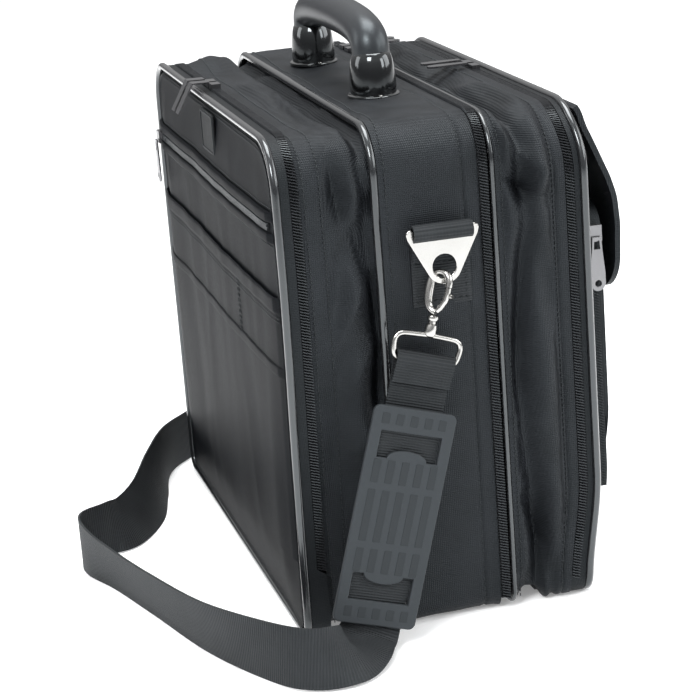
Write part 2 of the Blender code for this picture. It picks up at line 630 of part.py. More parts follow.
def strap_route():
    """Middle of the strap and the direction of its right edge, from the near end to the far end."""
    near = [on_strap(near_frame, -down) for down in (STRAP_START, 0.125, 0.158, 0.190, 0.2150, 0.2335)]
    floor = [
        (0.2285, -0.0800, 0.0105, 0.25, 0.90, -0.25),
        (0.2430, -0.0870, 0.0108, 0.55, 0.72, -0.38),
        (0.2610, -0.1000, 0.0165, 0.62, 0.10, -0.78),
        (0.2650, -0.1240, 0.0200, 0.10, -0.25, -0.96),
        (0.2450, -0.1440, 0.0205, -0.10, -0.15, -0.98),
        (0.1870, -0.1740, 0.0205, 0.00, 0.00, -1.00),
        (0.1140, -0.1960, 0.0205, 0.00, 0.06, -1.00),
        (0.0500, -0.2140, 0.0205, 0.00, 0.06, -1.00),
        (0.0120, -0.2260, 0.0205, 0.00, 0.00, -1.00),
        (-0.0120, -0.2240, 0.0205, 0.00, 0.00, -1.00),
        (-0.0240, -0.2050, 0.0205, 0.10, 0.00, -1.00),
        (-0.0420, -0.1860, 0.0180, 0.45, 0.25, -0.85),
        (-0.0850, -0.1640, 0.0165, 0.50, 0.35, -0.80),
        (-0.1350, -0.1480, 0.0185, 0.30, 0.25, -0.90),
        (-0.1850, -0.1300, 0.0205, 0.05, 0.05, -1.00),
        (-0.2250, -0.0980, 0.0210, -0.05, 0.10, -1.00),
        (-0.2470, -0.0560, 0.0340, -0.10, 0.45, -0.88),
        (-0.2420, -0.0260, 0.0640, -0.05, 0.90, -0.42),
    ]
    far = [on_strap(far_frame, -down) for down in (0.135, 0.112, STRAP_START)]
    far = [(*p[:3], *(-w for w in p[3:])) for p in far]
    return near + floor + far


def smooth(points, spacing):
    """Catmull-Rom curve through the points, in steps of about the given spacing."""
    rows = np.array(points)
    padded = np.vstack([2 * rows[0] - rows[1], rows, 2 * rows[-1] - rows[-2]])
    out = []
    for a, b, c, d in zip(padded, padded[1:], padded[2:], padded[3:]):
        steps = max(2, round(float(np.linalg.norm((c - b)[:3])) / spacing))
        for t in np.arange(steps) / steps:
            out.append(0.5 * (2 * b + (c - a) * t + (2 * a - 5 * b + 4 * c - d) * t**2
                              + (3 * b - a - 3 * c + d) * t**3))
    return out + [rows[-1]]


def ribbon(name, route, mat):
    """A flat strap along the route, turned at each place so that its width follows the given direction."""
    rows = smooth(route, 0.0125)
    loops = []
    for i, row in enumerate(rows):
        here = Vector(row[:3])
        along = Vector(rows[min(i + 1, len(rows) - 1)][:3]) - Vector(rows[max(i - 1, 0)][:3])
        along.normalize()
        wide = Vector(row[3:])
        wide = (wide - along * wide.dot(along)).normalized() * STRAP_WIDTH / 2
        thick = along.cross(wide).normalized() * STRAP_THICK / 2
        corners = (wide + thick, thick - wide, -wide - thick, wide - thick)
        loops.append([tuple(here + c) for c in corners])
    return loft(name, loops, mat)


shoulder_pad("shoulder_pad")
strap_adjuster("strap_adjuster")
ribbon("shoulder_strap", strap_route(), WEBBING)
bpy.context.view_layer.update()
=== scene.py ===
"""Soft flight bag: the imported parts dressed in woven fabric, piping, coil zips, webbing, rubber and metal.

All geometry is in metres in the part's own frame: X along the bag's width, -Y the front cover, +Z up.
"""

from math import cos, pi, radians, sin, sqrt

import bmesh
import bpy
import numpy as np
from mathutils import Matrix, Vector, noise


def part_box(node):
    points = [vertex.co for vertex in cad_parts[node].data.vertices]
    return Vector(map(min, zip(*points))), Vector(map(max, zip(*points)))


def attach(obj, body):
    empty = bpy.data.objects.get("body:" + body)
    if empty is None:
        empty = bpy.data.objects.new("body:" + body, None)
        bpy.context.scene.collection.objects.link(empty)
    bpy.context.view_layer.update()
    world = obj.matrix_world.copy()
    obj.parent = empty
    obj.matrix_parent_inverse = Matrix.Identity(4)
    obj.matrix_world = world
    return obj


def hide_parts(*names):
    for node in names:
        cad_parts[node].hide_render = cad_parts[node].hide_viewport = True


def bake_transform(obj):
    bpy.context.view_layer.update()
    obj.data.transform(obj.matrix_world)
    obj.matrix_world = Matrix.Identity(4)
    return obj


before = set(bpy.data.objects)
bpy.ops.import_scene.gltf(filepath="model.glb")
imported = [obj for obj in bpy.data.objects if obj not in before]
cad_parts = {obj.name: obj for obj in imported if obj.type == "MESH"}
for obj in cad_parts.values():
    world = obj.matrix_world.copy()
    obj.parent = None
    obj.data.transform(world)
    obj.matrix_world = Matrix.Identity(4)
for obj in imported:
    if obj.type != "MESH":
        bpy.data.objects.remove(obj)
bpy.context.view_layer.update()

# ------ sizes shared with the parts

HALF, TOP, CORNER, FOOT = 0.194, 0.334, 0.030, 0.012
COVER_HALF, COVER_TOP, REAR_CORNER = 0.1925, 0.3315, 0.044
GUSSET_HALF, GUSSET_TOP = 0.1892, 0.3270
SECTION_TOP = 0.332
FACE_CLOTH = (0.1868, 0.0045, 0.3262)  # half width, bottom and top of each cover's face
FACE_FLAT = (0.186, 0.004, 0.326)      # the same for the part of it that isn't turned in
PIPE_RADIUS = 0.0027
WEB_WIDE, WEB_THICK = 0.039, 0.0016
TOOTH_PITCH = 0.0019
FACE_FRONT, FACE_REAR, POCKET_FACE = -0.112, 0.0975, 0.1135
FRONT_ZIP, MAIN_ZIP, REAR_ZIP = -0.09695, 0.02695, 0.08495
POCKET_ZIP_Z = 0.2780

# ------ materials


class Nodes:
    """Short names for building a node material."""

    def __init__(self, name, rough, metal=0.0):
        self.mat = bpy.data.materials.new(name)
        self.mat.use_nodes = True
        self.tree = self.mat.node_tree
        self.shader = self.tree.nodes["Principled BSDF"]
        self.shader.inputs["Roughness"].default_value = rough
        self.shader.inputs["Metallic"].default_value = metal
        self.where = self.add("ShaderNodeTexCoord").outputs["Object"]
        if not metal:
            self.shader.inputs["Specular Tint"].default_value = (0.84, 0.95, 1.0, 1)

    def add(self, kind, **sets):
        node = self.tree.nodes.new(kind)
        for key, value in sets.items():
            setattr(node, key, value)
        return node

    def put(self, value, socket):
        if isinstance(value, bpy.types.NodeSocket):
            self.tree.links.new(value, socket)
        else:
            socket.default_value = value

    def math(self, kind, a, b=0.0):
        node = self.add("ShaderNodeMath", operation=kind)
        self.put(a, node.inputs[0])
        self.put(b, node.inputs[1])
        return node.outputs[0]

    def dot(self, direction, source=None):
        node = self.add("ShaderNodeVectorMath", operation="DOT_PRODUCT")
        self.put(source or self.where, node.inputs[0])
        node.inputs[1].default_value = direction
        return node.outputs["Value"]

    def noise(self, scale, detail=3.0):
        node = self.add("ShaderNodeTexNoise")
        self.put(self.where, node.inputs["Vector"])
        node.inputs["Scale"].default_value = scale
        node.inputs["Detail"].default_value = detail
        node.inputs["Roughness"].default_value = 0.55
        return node.outputs["Fac"]

    def tint(self, factor, dark, light):
        """Base colour that goes from dark to light with the factor."""
        node = self.add("ShaderNodeMix", data_type="RGBA")
        self.put(factor, node.inputs[0])
        node.inputs[6].default_value = (*dark, 1)
        node.inputs[7].default_value = (*light, 1)
        self.put(node.outputs[2], self.shader.inputs["Base Color"])

    def bump(self, height, strength, distance, before=None):
        node = self.add("ShaderNodeBump")
        node.inputs["Strength"].default_value = strength
        node.inputs["Distance"].default_value = distance
        self.put(height, node.inputs["Height"])
        if before:
            self.put(before, node.inputs["Normal"])
        self.put(node.outputs["Normal"], self.shader.inputs["Normal"])
        return node.outputs["Normal"]


def woven(name, dark, light, pitch, rough=0.62, weave=0.6, gloss=0.24):
    """Cloth with a basket weave that runs diagonally, and soft uneven shading."""
    n = Nodes(name, rough)
    k = 2 * pi / pitch
    one = n.math("SINE", n.math("MULTIPLY", n.dot((1.0, 1.0, 1.0)), k))
    two = n.math("SINE", n.math("MULTIPLY", n.dot((1.0, 1.0, -1.0)), k))
    cloth = n.math("MULTIPLY", one, two)
    cloudy = n.noise(22.0)
    mixed = n.math("ADD", n.math("MULTIPLY", cloth, 0.30), n.math("MULTIPLY", cloudy, 1.0))
    n.tint(mixed, dark, light)
    first = n.bump(n.noise(60.0, 4.0), 0.35, 0.0012)
    n.bump(cloth, weave, 0.00028, first)
    n.shader.inputs["Specular IOR Level"].default_value = gloss
    return n.mat


def ribbed(name, dark, light):
    """Webbing: fine ribs across the strap, over its length in the UV map's second axis, in metres."""
    n = Nodes(name, 0.60)
    uv = n.add("ShaderNodeUVMap", uv_map="UVMap").outputs["UV"]
    ribs = n.math("SINE", n.math("MULTIPLY", n.dot((0.0, 1.0, 0.0), uv), 2 * pi / 0.0018))
    ends = n.math("SINE", n.math("MULTIPLY", n.dot((1.0, 0.0, 0.0), uv), 2 * pi / 0.0022))
    cloth = n.math("ADD", n.math("MULTIPLY", ribs, 0.8), n.math("MULTIPLY", ends, 0.12))
    n.tint(n.math("ADD", n.math("MULTIPLY", cloth, 0.28), n.noise(30.0)), dark, light)
    n.bump(cloth, 0.75, 0.00035)
    n.shader.inputs["Specular IOR Level"].default_value = 0.30
    return n.mat


def plain(name, dark, light, rough, metal=0.0, grain=90.0, depth=0.00012, coat=0.0):
    n = Nodes(name, rough, metal)
    n.tint(n.noise(grain), dark, light)
    n.bump(n.noise(grain * 3, 2.0), 0.3, depth)
    n.shader.inputs["Coat Weight"].default_value = coat
    n.shader.inputs["Coat Roughness"].default_value = 0.12
    return n.mat


SHELL = woven("ballistic_nylon", (0.0009, 0.0011, 0.0016), (0.0136, 0.0148, 0.0178), 0.0026, rough=0.50)
PANEL = woven("panel_nylon", (0.0012, 0.0015, 0.0022), (0.0078, 0.0086, 0.0104), 0.0020, 0.50, 0.35, 0.035)
BAND = woven("band_nylon", (0.0006, 0.0007, 0.0010), (0.0076, 0.0083, 0.0100), 0.0022, weave=0.4, rough=0.5)
LINING = woven("lining", (0.020, 0.020, 0.022), (0.050, 0.050, 0.055), 0.0016, weave=0.2, rough=0.8)
WEBBING = ribbed("strap_webbing", (0.0040, 0.0042, 0.0048), (0.0230, 0.0240, 0.0260))
PIPE = plain("piping_vinyl", (0.0060, 0.0062, 0.0070), (0.0140, 0.0144, 0.0156), 0.22, coat=0.8, grain=40.0)
TAPE = woven("zip_tape", (0.0018, 0.0018, 0.0021), (0.0090, 0.0092, 0.0100), 0.0014, weave=0.3)
COIL = plain("zip_coil", (0.0120, 0.0124, 0.0138), (0.0260, 0.0268, 0.0290), 0.24)
GRIP = plain("grip_rubber", (0.0110, 0.0117, 0.0136), (0.0180, 0.0190, 0.0215), 0.36, grain=300.0)
GLOSS = plain("cap_plastic", (0.0020, 0.0020, 0.0022), (0.0035, 0.0035, 0.0038), 0.09, coat=0.6)
PADDING = plain("pad_rubber", (0.0150, 0.0166, 0.0190), (0.0205, 0.0225, 0.0255), 0.66, grain=500.0)
BARS = plain("pad_bars", (0.0080, 0.0088, 0.0102), (0.0110, 0.0120, 0.0137), 0.66, grain=500.0)
LABEL = woven("label_plain", (0.0008, 0.0008, 0.0009), (0.0050, 0.0050, 0.0055), 0.0012, weave=0.3)
NICKEL = plain("nickel", (0.40, 0.395, 0.38), (0.50, 0.495, 0.48), 0.20, 1.0, depth=0.00004)
GUNMETAL = plain("gunmetal", (0.17, 0.17, 0.178), (0.27, 0.27, 0.280), 0.26, 1.0, depth=0.00001)
SATIN = plain("satin_nickel", (0.17, 0.17, 0.175), (0.24, 0.24, 0.247), 0.30, 1.0, depth=0.00004)
THREAD = plain("thread", (0.0015, 0.0015, 0.0017), (0.0050, 0.0050, 0.0056), 0.6, grain=200.0)
# size, taper, material and slant of a coil's turns
BIG_TEETH = ((0.00120, 0.0034, 0.0024), 0.38, COIL, 0.42)
SMALL_TEETH = ((0.00115, 0.0028, 0.0014), 0.45, COIL, 0.4)

# ------ geometry helpers


def mesh(name, points, faces, mat, uv=None, sharp=40.0):
    data = bpy.data.meshes.new(name)
    data.from_pydata(np.asarray(points, float).tolist(), [], faces)
    if uv is not None:
        index = np.empty(len(data.loops), np.int32)
        data.loops.foreach_get("vertex_index", index)
        layer = data.uv_layers.new(name="UVMap")
        layer.data.foreach_set("uv", np.asarray(uv, np.float32)[index].ravel())
    work = bmesh.new()
    work.from_mesh(data)
    bmesh.ops.recalc_face_normals(work, faces=work.faces)
    work.to_mesh(data)
    work.free()
    return placed(name, data, mat, sharp)


def placed(name, data, mat, sharp):
    data.materials.clear()
    data.materials.append(mat)
    data.polygons.foreach_set("use_smooth", [True] * len(data.polygons))
    data.set_sharp_from_angle(angle=radians(sharp))
    obj = bpy.data.objects.new(name, data)
    bpy.context.scene.collection.objects.link(obj)
    return obj


def slump(obj):
    """The filled bag isn't square: its front bows out at the ends, and its rear tapers in at the bottom."""
    flat = np.empty(len(obj.data.vertices) * 3)
    obj.data.vertices.foreach_get("co", flat)
    p = flat.reshape(-1, 3)
    x, y, z = p[:, 0].copy(), p[:, 1].copy(), p[:, 2].copy()
    bow = hill(z, 0.235, 0.105) * rise(-y, 0.046, 0.090) * rise(np.abs(x), 0.06, 0.19)
    p[:, 0] = x + bow * np.where(x > 0, 0.0085, -0.0040)
    tuck_in = 0.0085 * rise(0.085 - z, 0.0, 0.080) + 0.0020 * rise(z, 0.300, 0.330)
    p[:, 1] = y - rise(y, 0.045, 0.085) * tuck_in
    obj.data.vertices.foreach_set("co", flat)


SLUMPED = ("case", "front_cover", "rear_section", "rear_cover")


def fit(obj, body, *nodes):
    """Puts a finished piece on its body, in place of these CAD nodes."""
    if body in SLUMPED and "strap" not in obj.name:
        slump(obj)
    if nodes:
        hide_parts(*nodes)
    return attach(obj, body) if body else obj


def unit(vectors):
    return vectors / np.linalg.norm(vectors, axis=-1, keepdims=True)


def distances(path):
    """The distance along a path at each of its points."""
    return np.r_[0, np.cumsum(np.linalg.norm(np.diff(path, axis=0), axis=1))]


def resample(points, count, closed=False):
    p = np.array(points, float)
    if closed:
        p = np.vstack([p, p[:1]])
    d = distances(p)
    t = np.linspace(0, d[-1], count + 1)[:-1] if closed else np.linspace(0, d[-1], count)
    return np.stack([np.interp(t, d, p[:, k]) for k in range(p.shape[1])], 1)


def arc(cx, cz, radius, start, end, steps=14):
    turns = [radians(start + (end - start) * i / steps) for i in range(steps + 1)]
    return [(cx + radius * cos(t), cz + radius * sin(t)) for t in turns]


def rounded(x0, x1, z0, z1, corner, steps):
    """A rectangle with round corners, anticlockwise from its lower right one."""
    p = arc(x1 - corner, z0 + corner, corner, -90, 0, steps)
    p += arc(x1 - corner, z1 - corner, corner, 0, 90, steps)
    p += arc(x0 + corner, z1 - corner, corner, 90, 180, steps)
    return p + arc(x0 + corner, z0 + corner, corner, 180, 270, steps)


def outline(half, low, high, top_corner=CORNER, low_corner=FOOT, count=300):
    """(x, z) points round an upright panel, anticlockwise from its lower right corner."""
    p = arc(half - low_corner, low + low_corner, low_corner, -90, 0)
    p += arc(half - top_corner, high - top_corner, top_corner, 0, 90)
    p += arc(-half + top_corner, high - top_corner, top_corner, 90, 180)
    p += arc(-half + low_corner, low + low_corner, low_corner, 180, 270)
    return resample(p, count, True)


def u_path(half, high, low, corner, count):
    """(x, z) points up the near end, over the top and down the far end."""
    p = [(half, low)] + arc(half - corner, high - corner, corner, 0, 90)
    p += arc(-half + corner, high - corner, corner, 90, 180) + [(-half, low)]
    return resample(p, count)


def outward(flat, closed=True):
    """Unit vectors that point out of an anticlockwise path in x and z."""
    along = unit(np.roll(flat, -1, 0) - np.roll(flat, 1, 0) if closed else np.gradient(flat, axis=0))
    return np.stack([along[:, 1], -along[:, 0]], 1)


def points_at(x, y, z):
    """(x, y, z) points from coordinates of which some may be a single number."""
    return np.stack(np.broadcast_arrays(x, y, z), -1)


def upright(flat, y):
    """(x, y, z) points from (x, z) points, all at one y."""
    return points_at(flat[:, 0], y, flat[:, 1])


def smoothed(path, rounds):
    """The path with its corners rounded; its ends stay."""
    for _ in range(rounds):
        path[1:-1] = (path[:-2] + 2 * path[1:-1] + path[2:]) / 4
    return path


def field(p, size, seed, stretch=(1, 1, 1)):
    flat = p.reshape(-1, 3) / size * np.array(stretch) + seed * 7.31
    return np.array([noise.noise(Vector(q)) for q in flat]).reshape(p.shape[:-1])


def creases(p, size, seed, stretch=(1, 1, 1)):
    """1 on the sharp crests of folds and about 0 between them."""
    return 1 - np.sqrt(field(p, size, seed, stretch) ** 2 + 0.006) * 2.6


def hill(value, middle, width):
    return np.exp(-(((value - middle) / width) ** 2))


def rise(value, low, high):
    t = np.clip((value - low) / (high - low), 0, 1)
    return t * t * (3 - 2 * t)


def shell(name, grid, thick, mat, wrap=False, uv=None):
    """Cloth of even thickness, from a grid of points on its outer side."""
    du = np.roll(grid, -1, 0) - np.roll(grid, 1, 0) if wrap else np.gradient(grid, axis=0)
    n = np.cross(np.gradient(grid, axis=1), du)
    n /= np.linalg.norm(n, axis=2, keepdims=True).clip(1e-12)
    nu, nv = grid.shape[:2]
    points = np.concatenate([grid.reshape(-1, 3), (grid - n * thick).reshape(-1, 3)])
    top = np.arange(nu * nv).reshape(nu, nv)
    if wrap:
        top = np.vstack([top, top[:1]])
    low = top + nu * nv
    quads = []
    for a in (top, low):
        quads.append(np.stack([a[:-1, :-1], a[1:, :-1], a[1:, 1:], a[:-1, 1:]], -1).reshape(-1, 4))
    quads[1] = quads[1][:, ::-1]
    for j in (0, nv - 1):
        quads.append(np.stack([top[:-1, j], low[:-1, j], low[1:, j], top[1:, j]], -1))
    if not wrap:
        for i in (0, nu - 1):
            quads.append(np.stack([top[i, :-1], top[i, 1:], low[i, 1:], low[i, :-1]], -1))
    if uv is not None:
        uv = np.concatenate([uv.reshape(-1, 2)] * 2)
    return mesh(name, points, np.concatenate(quads).tolist(), mat, uv)


def ring(name, flat, ys, thick, push, last=None):
    """A gusset: cloth round a closed outline, from the first y to the last, pushed outwards by push(points).
    last is the outline at the last y, where it differs."""
    n = outward(flat)
    t = np.linspace(0, 1, len(ys))[None, :, None]
    both = flat[:, None, :] * (1 - t) + (flat if last is None else last)[:, None, :] * t
    grid = np.stack([both[..., 0], np.broadcast_to(np.asarray(ys), both.shape[:2]), both[..., 1]], -1)
    d = push(grid)
    grid[:, :, 0] += n[:, None, 0] * d
    grid[:, :, 2] += n[:, None, 1] * d
    grid[:, :, 2] = np.maximum(grid[:, :, 2], 0.0)
    return shell(name, grid, thick, SHELL, wrap=True)


def half_at(z, half, low, high, top_corner=CORNER, low_corner=FOOT):
    """Half the width, at each height, of an upright panel with rounded corners."""
    up = np.clip(z - (high - top_corner), 0, top_corner)
    down = np.clip(low + low_corner - z, 0, low_corner)
    top_turn = top_corner - np.sqrt(top_corner**2 - up**2)
    low_turn = low_corner - np.sqrt(low_corner**2 - down**2)
    return half - top_turn - low_turn


def panel_grid(half, low, high, y_at, top_corner=CORNER, low_corner=FOOT, nx=150, nz=130, back=False):
    """An upright face with rounded corners. y_at gives its y at each point."""
    t = np.linspace(0, 1, nz)
    z = low + (high - low) * (0.75 * t + 0.25 * (1 - np.cos(pi * t)) / 2)
    wide = half_at(z, half, low, high, top_corner, low_corner)
    x = np.linspace(1, -1, nx) if back else np.linspace(-1, 1, nx)
    grid = np.zeros((nz, nx, 3))
    grid[:, :, 0] = wide[:, None] * x[None, :]
    grid[:, :, 2] = z[:, None]
    grid[:, :, 1] = y_at(grid)
    return grid


def round_faces(a, b, sides):
    """Faces between two rounds of points, which start at numbers a and b."""
    return [(a + k, a + (k + 1) % sides, b + (k + 1) % sides, b + k) for k in range(sides)]


def tube(name, path, radius, mat, sides, closed=False):
    """A round wire along a path. radius is one number or one for each point."""
    p = np.array(path, float)
    count = len(p)
    radii = np.broadcast_to(np.asarray(radius, float), (count,))
    along = unit(np.roll(p, -1, 0) - np.roll(p, 1, 0) if closed else np.gradient(p, axis=0))
    side = Vector(along[0]).orthogonal().normalized()
    frames = []
    for a in along:
        a = Vector(a)
        side = (side - a * side.dot(a)).normalized()
        frames.append((side.copy(), a.cross(side)))
    twist = 0.0
    if closed:
        first, last = frames[0], frames[-1][0]
        twist = np.arctan2(last.dot(first[1]), last.dot(first[0]))
    points = []
    for i, (one, two) in enumerate(frames):
        for k in range(sides):
            t = 2 * pi * k / sides - twist * i / count
            points.append(Vector(p[i]) + (one * cos(t) + two * sin(t)) * float(radii[i]))
    faces = []
    for i in range(count if closed else count - 1):
        faces += round_faces(i * sides, (i + 1) % count * sides, sides)
    if not closed:
        faces += [tuple(range(sides)), tuple(range((count - 1) * sides, count * sides))]
    return mesh(name, points, faces, mat)


def lathe(name, profile, centre, mat, squeeze=1.0, sides=40):
    """Turned about a vertical line: (radius, z) points. squeeze narrows it along Y."""
    points, faces = [], []
    for r, z in profile:
        for k in range(sides):
            t = 2 * pi * k / sides
            points.append((centre[0] + r * cos(t), centre[1] + r * sin(t) * squeeze, z))
    for i in range(len(profile) - 1):
        faces += round_faces(i * sides, (i + 1) * sides, sides)
    faces += [tuple(range(sides)), tuple(range(len(points) - sides, len(points)))]
    return mesh(name, points, faces, mat, sharp=35.0)


def plate(name, loops, thick, bevel, place, mat):
    """A flat plate with a rounded edge. The first loop is its outline, and the others are holes."""
    curve = bpy.data.curves.new(name + "_curve", "CURVE")
    curve.dimensions = "2D"
    curve.fill_mode = "BOTH"
    curve.extrude = thick / 2 - bevel
    curve.bevel_depth = bevel
    curve.bevel_resolution = 2
    curve.offset = -bevel
    for loop in loops:
        spline = curve.splines.new("POLY")
        spline.points.add(len(loop) - 1)
        for point, (x, y) in zip(spline.points, loop):
            point.co = (x, y, 0.0, 1.0)
        spline.use_cyclic_u = True
    holder = bpy.data.objects.new(name + "_curve", curve)
    bpy.context.scene.collection.objects.link(holder)
    graph = bpy.context.evaluated_depsgraph_get()
    data = bpy.data.meshes.new_from_object(holder.evaluated_get(graph))
    bpy.data.objects.remove(holder, do_unlink=True)
    data.transform(place)
    data.name = name
    return placed(name, data, mat, 30.0)


def axes(origin, x, y, z):
    """A matrix that puts local x, y and z along these directions."""
    turn = Matrix((Vector(x), Vector(y), Vector(z))).transposed().to_4x4()
    return Matrix.Translation(Vector(origin)) @ turn


def many(name, centres, frames, size, top, mat, slant):
    """Small blocks, each with its own centre and (along, across, up) axes. top narrows the upper face."""
    a, b, c = (s / 2 for s in size)
    frames = np.array(frames)
    frames[:, 1] += frames[:, 0] * slant
    square = ((-1, -1), (1, -1), (1, 1), (-1, 1))
    corners = [(i * a, j * b, -c) for i, j in square] + [(i * a * top, j * b * 0.85, c) for i, j in square]
    corners = np.array(corners)
    points = np.einsum("ck,nkd->ncd", corners, np.asarray(frames)) + np.asarray(centres)[:, None, :]
    quads = np.array([(0, 3, 2, 1), (4, 5, 6, 7), (0, 1, 5, 4), (1, 2, 6, 5), (2, 3, 7, 6), (3, 0, 4, 7)])
    faces = (quads[None] + np.arange(len(points))[:, None, None] * 8).reshape(-1, 4)
    return mesh(name, points.reshape(-1, 3), faces.tolist(), mat, sharp=60.0)


def path_frames(path, up):
    """(along, across, up) axes at each point of a path."""
    along = unit(np.gradient(path, axis=0))
    across = unit(np.cross(up, along))
    return np.stack([along, across, np.cross(along, across)], 1)


def length_of(path):
    return float(np.linalg.norm(np.diff(path, axis=0), axis=1).sum())


def stitches(name, path, up, pitch=0.0034):
    """A row of stitches along a path that lies on cloth; up points out of the cloth."""
    path = resample(path, max(4, int(length_of(np.array(path)) / pitch)))
    up = np.broadcast_to(np.asarray(up, float), path.shape) if np.ndim(up) < 2 else resample(up, len(path))
    return many(name, path, path_frames(path, up), (pitch * 0.68, 0.0006, 0.0005), 0.7, THREAD, 0.0)


def staggered(start, end, side):
    """Places of a coil's turns, half a pitch further on for the zip's other half."""
    return np.arange(start, end, TOOTH_PITCH) + (TOOTH_PITCH / 2 if side < 0 else 0)


def teeth_row(name, row, up, teeth, body):
    """One half of a coil, along a row of points."""
    up = np.broadcast_to(np.asarray(up, float), row.shape)
    fit(many(name, row, path_frames(row, up), *teeth), body)


def zip_half(node, body, half, top, low, middle, side, corner):
    """One half of a coil zip: its tape, and its teeth, which reach just over the middle."""
    flat = u_path(half, top, low, corner, 260)
    n = outward(flat, closed=False)
    ys = np.linspace(middle + side * 0.0002, middle + side * 0.0031, 4)[::side]
    grid = np.zeros((len(flat), 4, 3))
    grid[:, :, 0] = flat[:, None, 0] - 0.0004 * n[:, None, 0]
    grid[:, :, 1] = ys
    grid[:, :, 2] = flat[:, None, 1] - 0.0004 * n[:, None, 1]
    fit(shell(f"{node}_tape", grid, 0.0016, TAPE), body, node)
    count = int(length_of(flat) / TOOTH_PITCH)
    line = resample(flat + 0.0005 * n, count * 2)[side < 0 :: 2]
    out = outward(line, closed=False)
    teeth_row(f"{node}_teeth", upright(line, middle + side * 0.00145), upright(out, 0.0), BIG_TEETH, body)


def bent(obj, a, b, z0, z1, *nodes):
    """A piece that crosses a cover's hinge: it is slumped with the bag and put in place of these CAD nodes,
    but not bent there; a, b, z0 and z1, the two bodies and the two heights, are not used.
    """
    slump(obj)
    fit(obj, None, *nodes)
    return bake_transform(obj)


FRONT_BEND = ("case", "front_cover", 0.038, 0.058)
REAR_BEND = ("rear_section", "rear_cover", 0.032, 0.052)

# ------ front cover


def face_middle(p, side, low, top):
    """1 over the middle of a cover's face and 0 at its edges, over these widths."""
    x, z = p[..., 0], p[..., 2]
    middle = rise(half_at(z, *FACE_FLAT) - np.abs(x), 0.0, side)
    return middle * rise(z, 0.004, low) * rise(0.327 - z, 0.0, top)


def front_y(p):
    """The front cover's face: a little full in the middle, with soft upright folds."""
    folds = field(p, 0.090, 3, (1.0, 0.0, 0.30)) * 0.0012 + creases(p, 0.045, 5, (1.0, 0.0, 0.30)) * 0.0007
    near = hill(p[..., 0], 0.186, 0.030) * 0.0012
    return FACE_FRONT + 0.0022 - face_middle(p, 0.035, 0.045, 0.040) * (0.0030 + folds) - near


def rolled_grid(steps, corner):
    """A cover's edge band that rolls over onto its face, in (y, inset) steps from the zip."""
    grid = np.zeros((300, len(steps), 3))
    for j, (y, inset) in enumerate(steps):
        flat = outline(COVER_HALF - inset, inset, COVER_TOP - inset, corner - inset, FOOT - inset * 0.9)
        grid[:, j] = upright(flat, y)
    return grid


def piping(name, half, low, high, y, corner=CORNER, radius=PIPE_RADIUS):
    """Piping round an upright panel."""
    return tube(name, upright(outline(half, low, high, corner, count=360), y), radius, PIPE, 12, closed=True)


front_face = shell("front_face", panel_grid(*FACE_CLOTH, front_y), 0.002, PANEL)
bent(front_face, *FRONT_BEND, "front_panel", "front_foot")
FRONT_ROLL = ((-0.1003, 0.0), (-0.1030, 0.0), (-0.1062, 0.0), (-0.1068, 0.0012), (-0.1072, 0.0030),
              (-0.1082, 0.0046), (-0.1094, 0.0056), (-0.1102, 0.0066))
edge_grid = rolled_grid(FRONT_ROLL, CORNER)[:, ::-1]
edge_grid[:, -1, 1] += 0.0066 * rise(0.049 - edge_grid[:, -1, 2], 0.0, 0.002)
bent(shell("front_edge", edge_grid, 0.0018, BAND, wrap=True), *FRONT_BEND)
front_pipe = piping("front_cover_piping", COVER_HALF - 0.0002, 0.0024, COVER_TOP - 0.0002, -0.1090)
bent(front_pipe, *FRONT_BEND, "front_piping")
inner = outline(COVER_HALF - 0.0080, 0.0090, COVER_TOP - 0.0080, CORNER - 0.006, 0.008, count=400)
inner = upright(inner, 0.0)
inner[:, 1] = front_y(inner) - 0.0001
bent(stitches("front_cover_stitches", inner, (0, -1, 0)), *FRONT_BEND)


def on_front(x, z, lift):
    """Points on the front cover's face, lifted off it."""
    p = points_at(x, 0.0, z)
    p[..., 1] = front_y(p) - lift
    return p


def front_strip(name, half, low, high, lift, thick, round_over=0.0, mat=PANEL, nz=10):
    """Cloth on the front cover's face, lifted off it, with its long edges rounded over."""
    x, z = np.meshgrid(np.linspace(-half, half, 120), np.linspace(low, high, nz))
    t = np.linspace(-1, 1, nz)[:, None]
    ends = rise(x + half, 0.0, 0.006) * rise(half - x, 0.0, 0.006)
    height = 0.0002 + ends * (lift + round_over * np.sqrt(np.clip(1 - t**4, 0, 1)))
    return shell(name, on_front(x, z, height), thick, mat)


def front_stitches(name, x, z, lift):
    fit(stitches(name, on_front(x, z, lift), (0, -1, 0)), "front_cover")


STRIP_HALF = 0.1855
for name, low in (("top", POCKET_ZIP_Z + 0.0032), ("low", POCKET_ZIP_Z - 0.0105)):
    welt = front_strip(f"pocket_welt_{name}", STRIP_HALF, low, low + 0.0073, 0.0006, 0.001, 0.0022)
    fit(welt, "front_cover")
low = POCKET_ZIP_Z - 0.0045
tape = front_strip("pocket_zip_tape", 0.178, low, low + 0.0090, 0.0007, 0.0006, mat=TAPE, nz=4)
fit(tape, "front_cover", "pocket_zip")
for side in (1, -1):
    row = on_front(staggered(-0.177, 0.177, side), POCKET_ZIP_Z + side * 0.00105, 0.0013)
    teeth_row(f"pocket_zip_teeth_{side}", row, (0, -1, 0), SMALL_TEETH, "front_cover")
for z in (POCKET_ZIP_Z + 0.0125, POCKET_ZIP_Z - 0.0125):
    front_stitches(f"pocket_zip_stitches_{z:.4f}", np.linspace(-0.183, 0.183, 60), z, 0.0002)

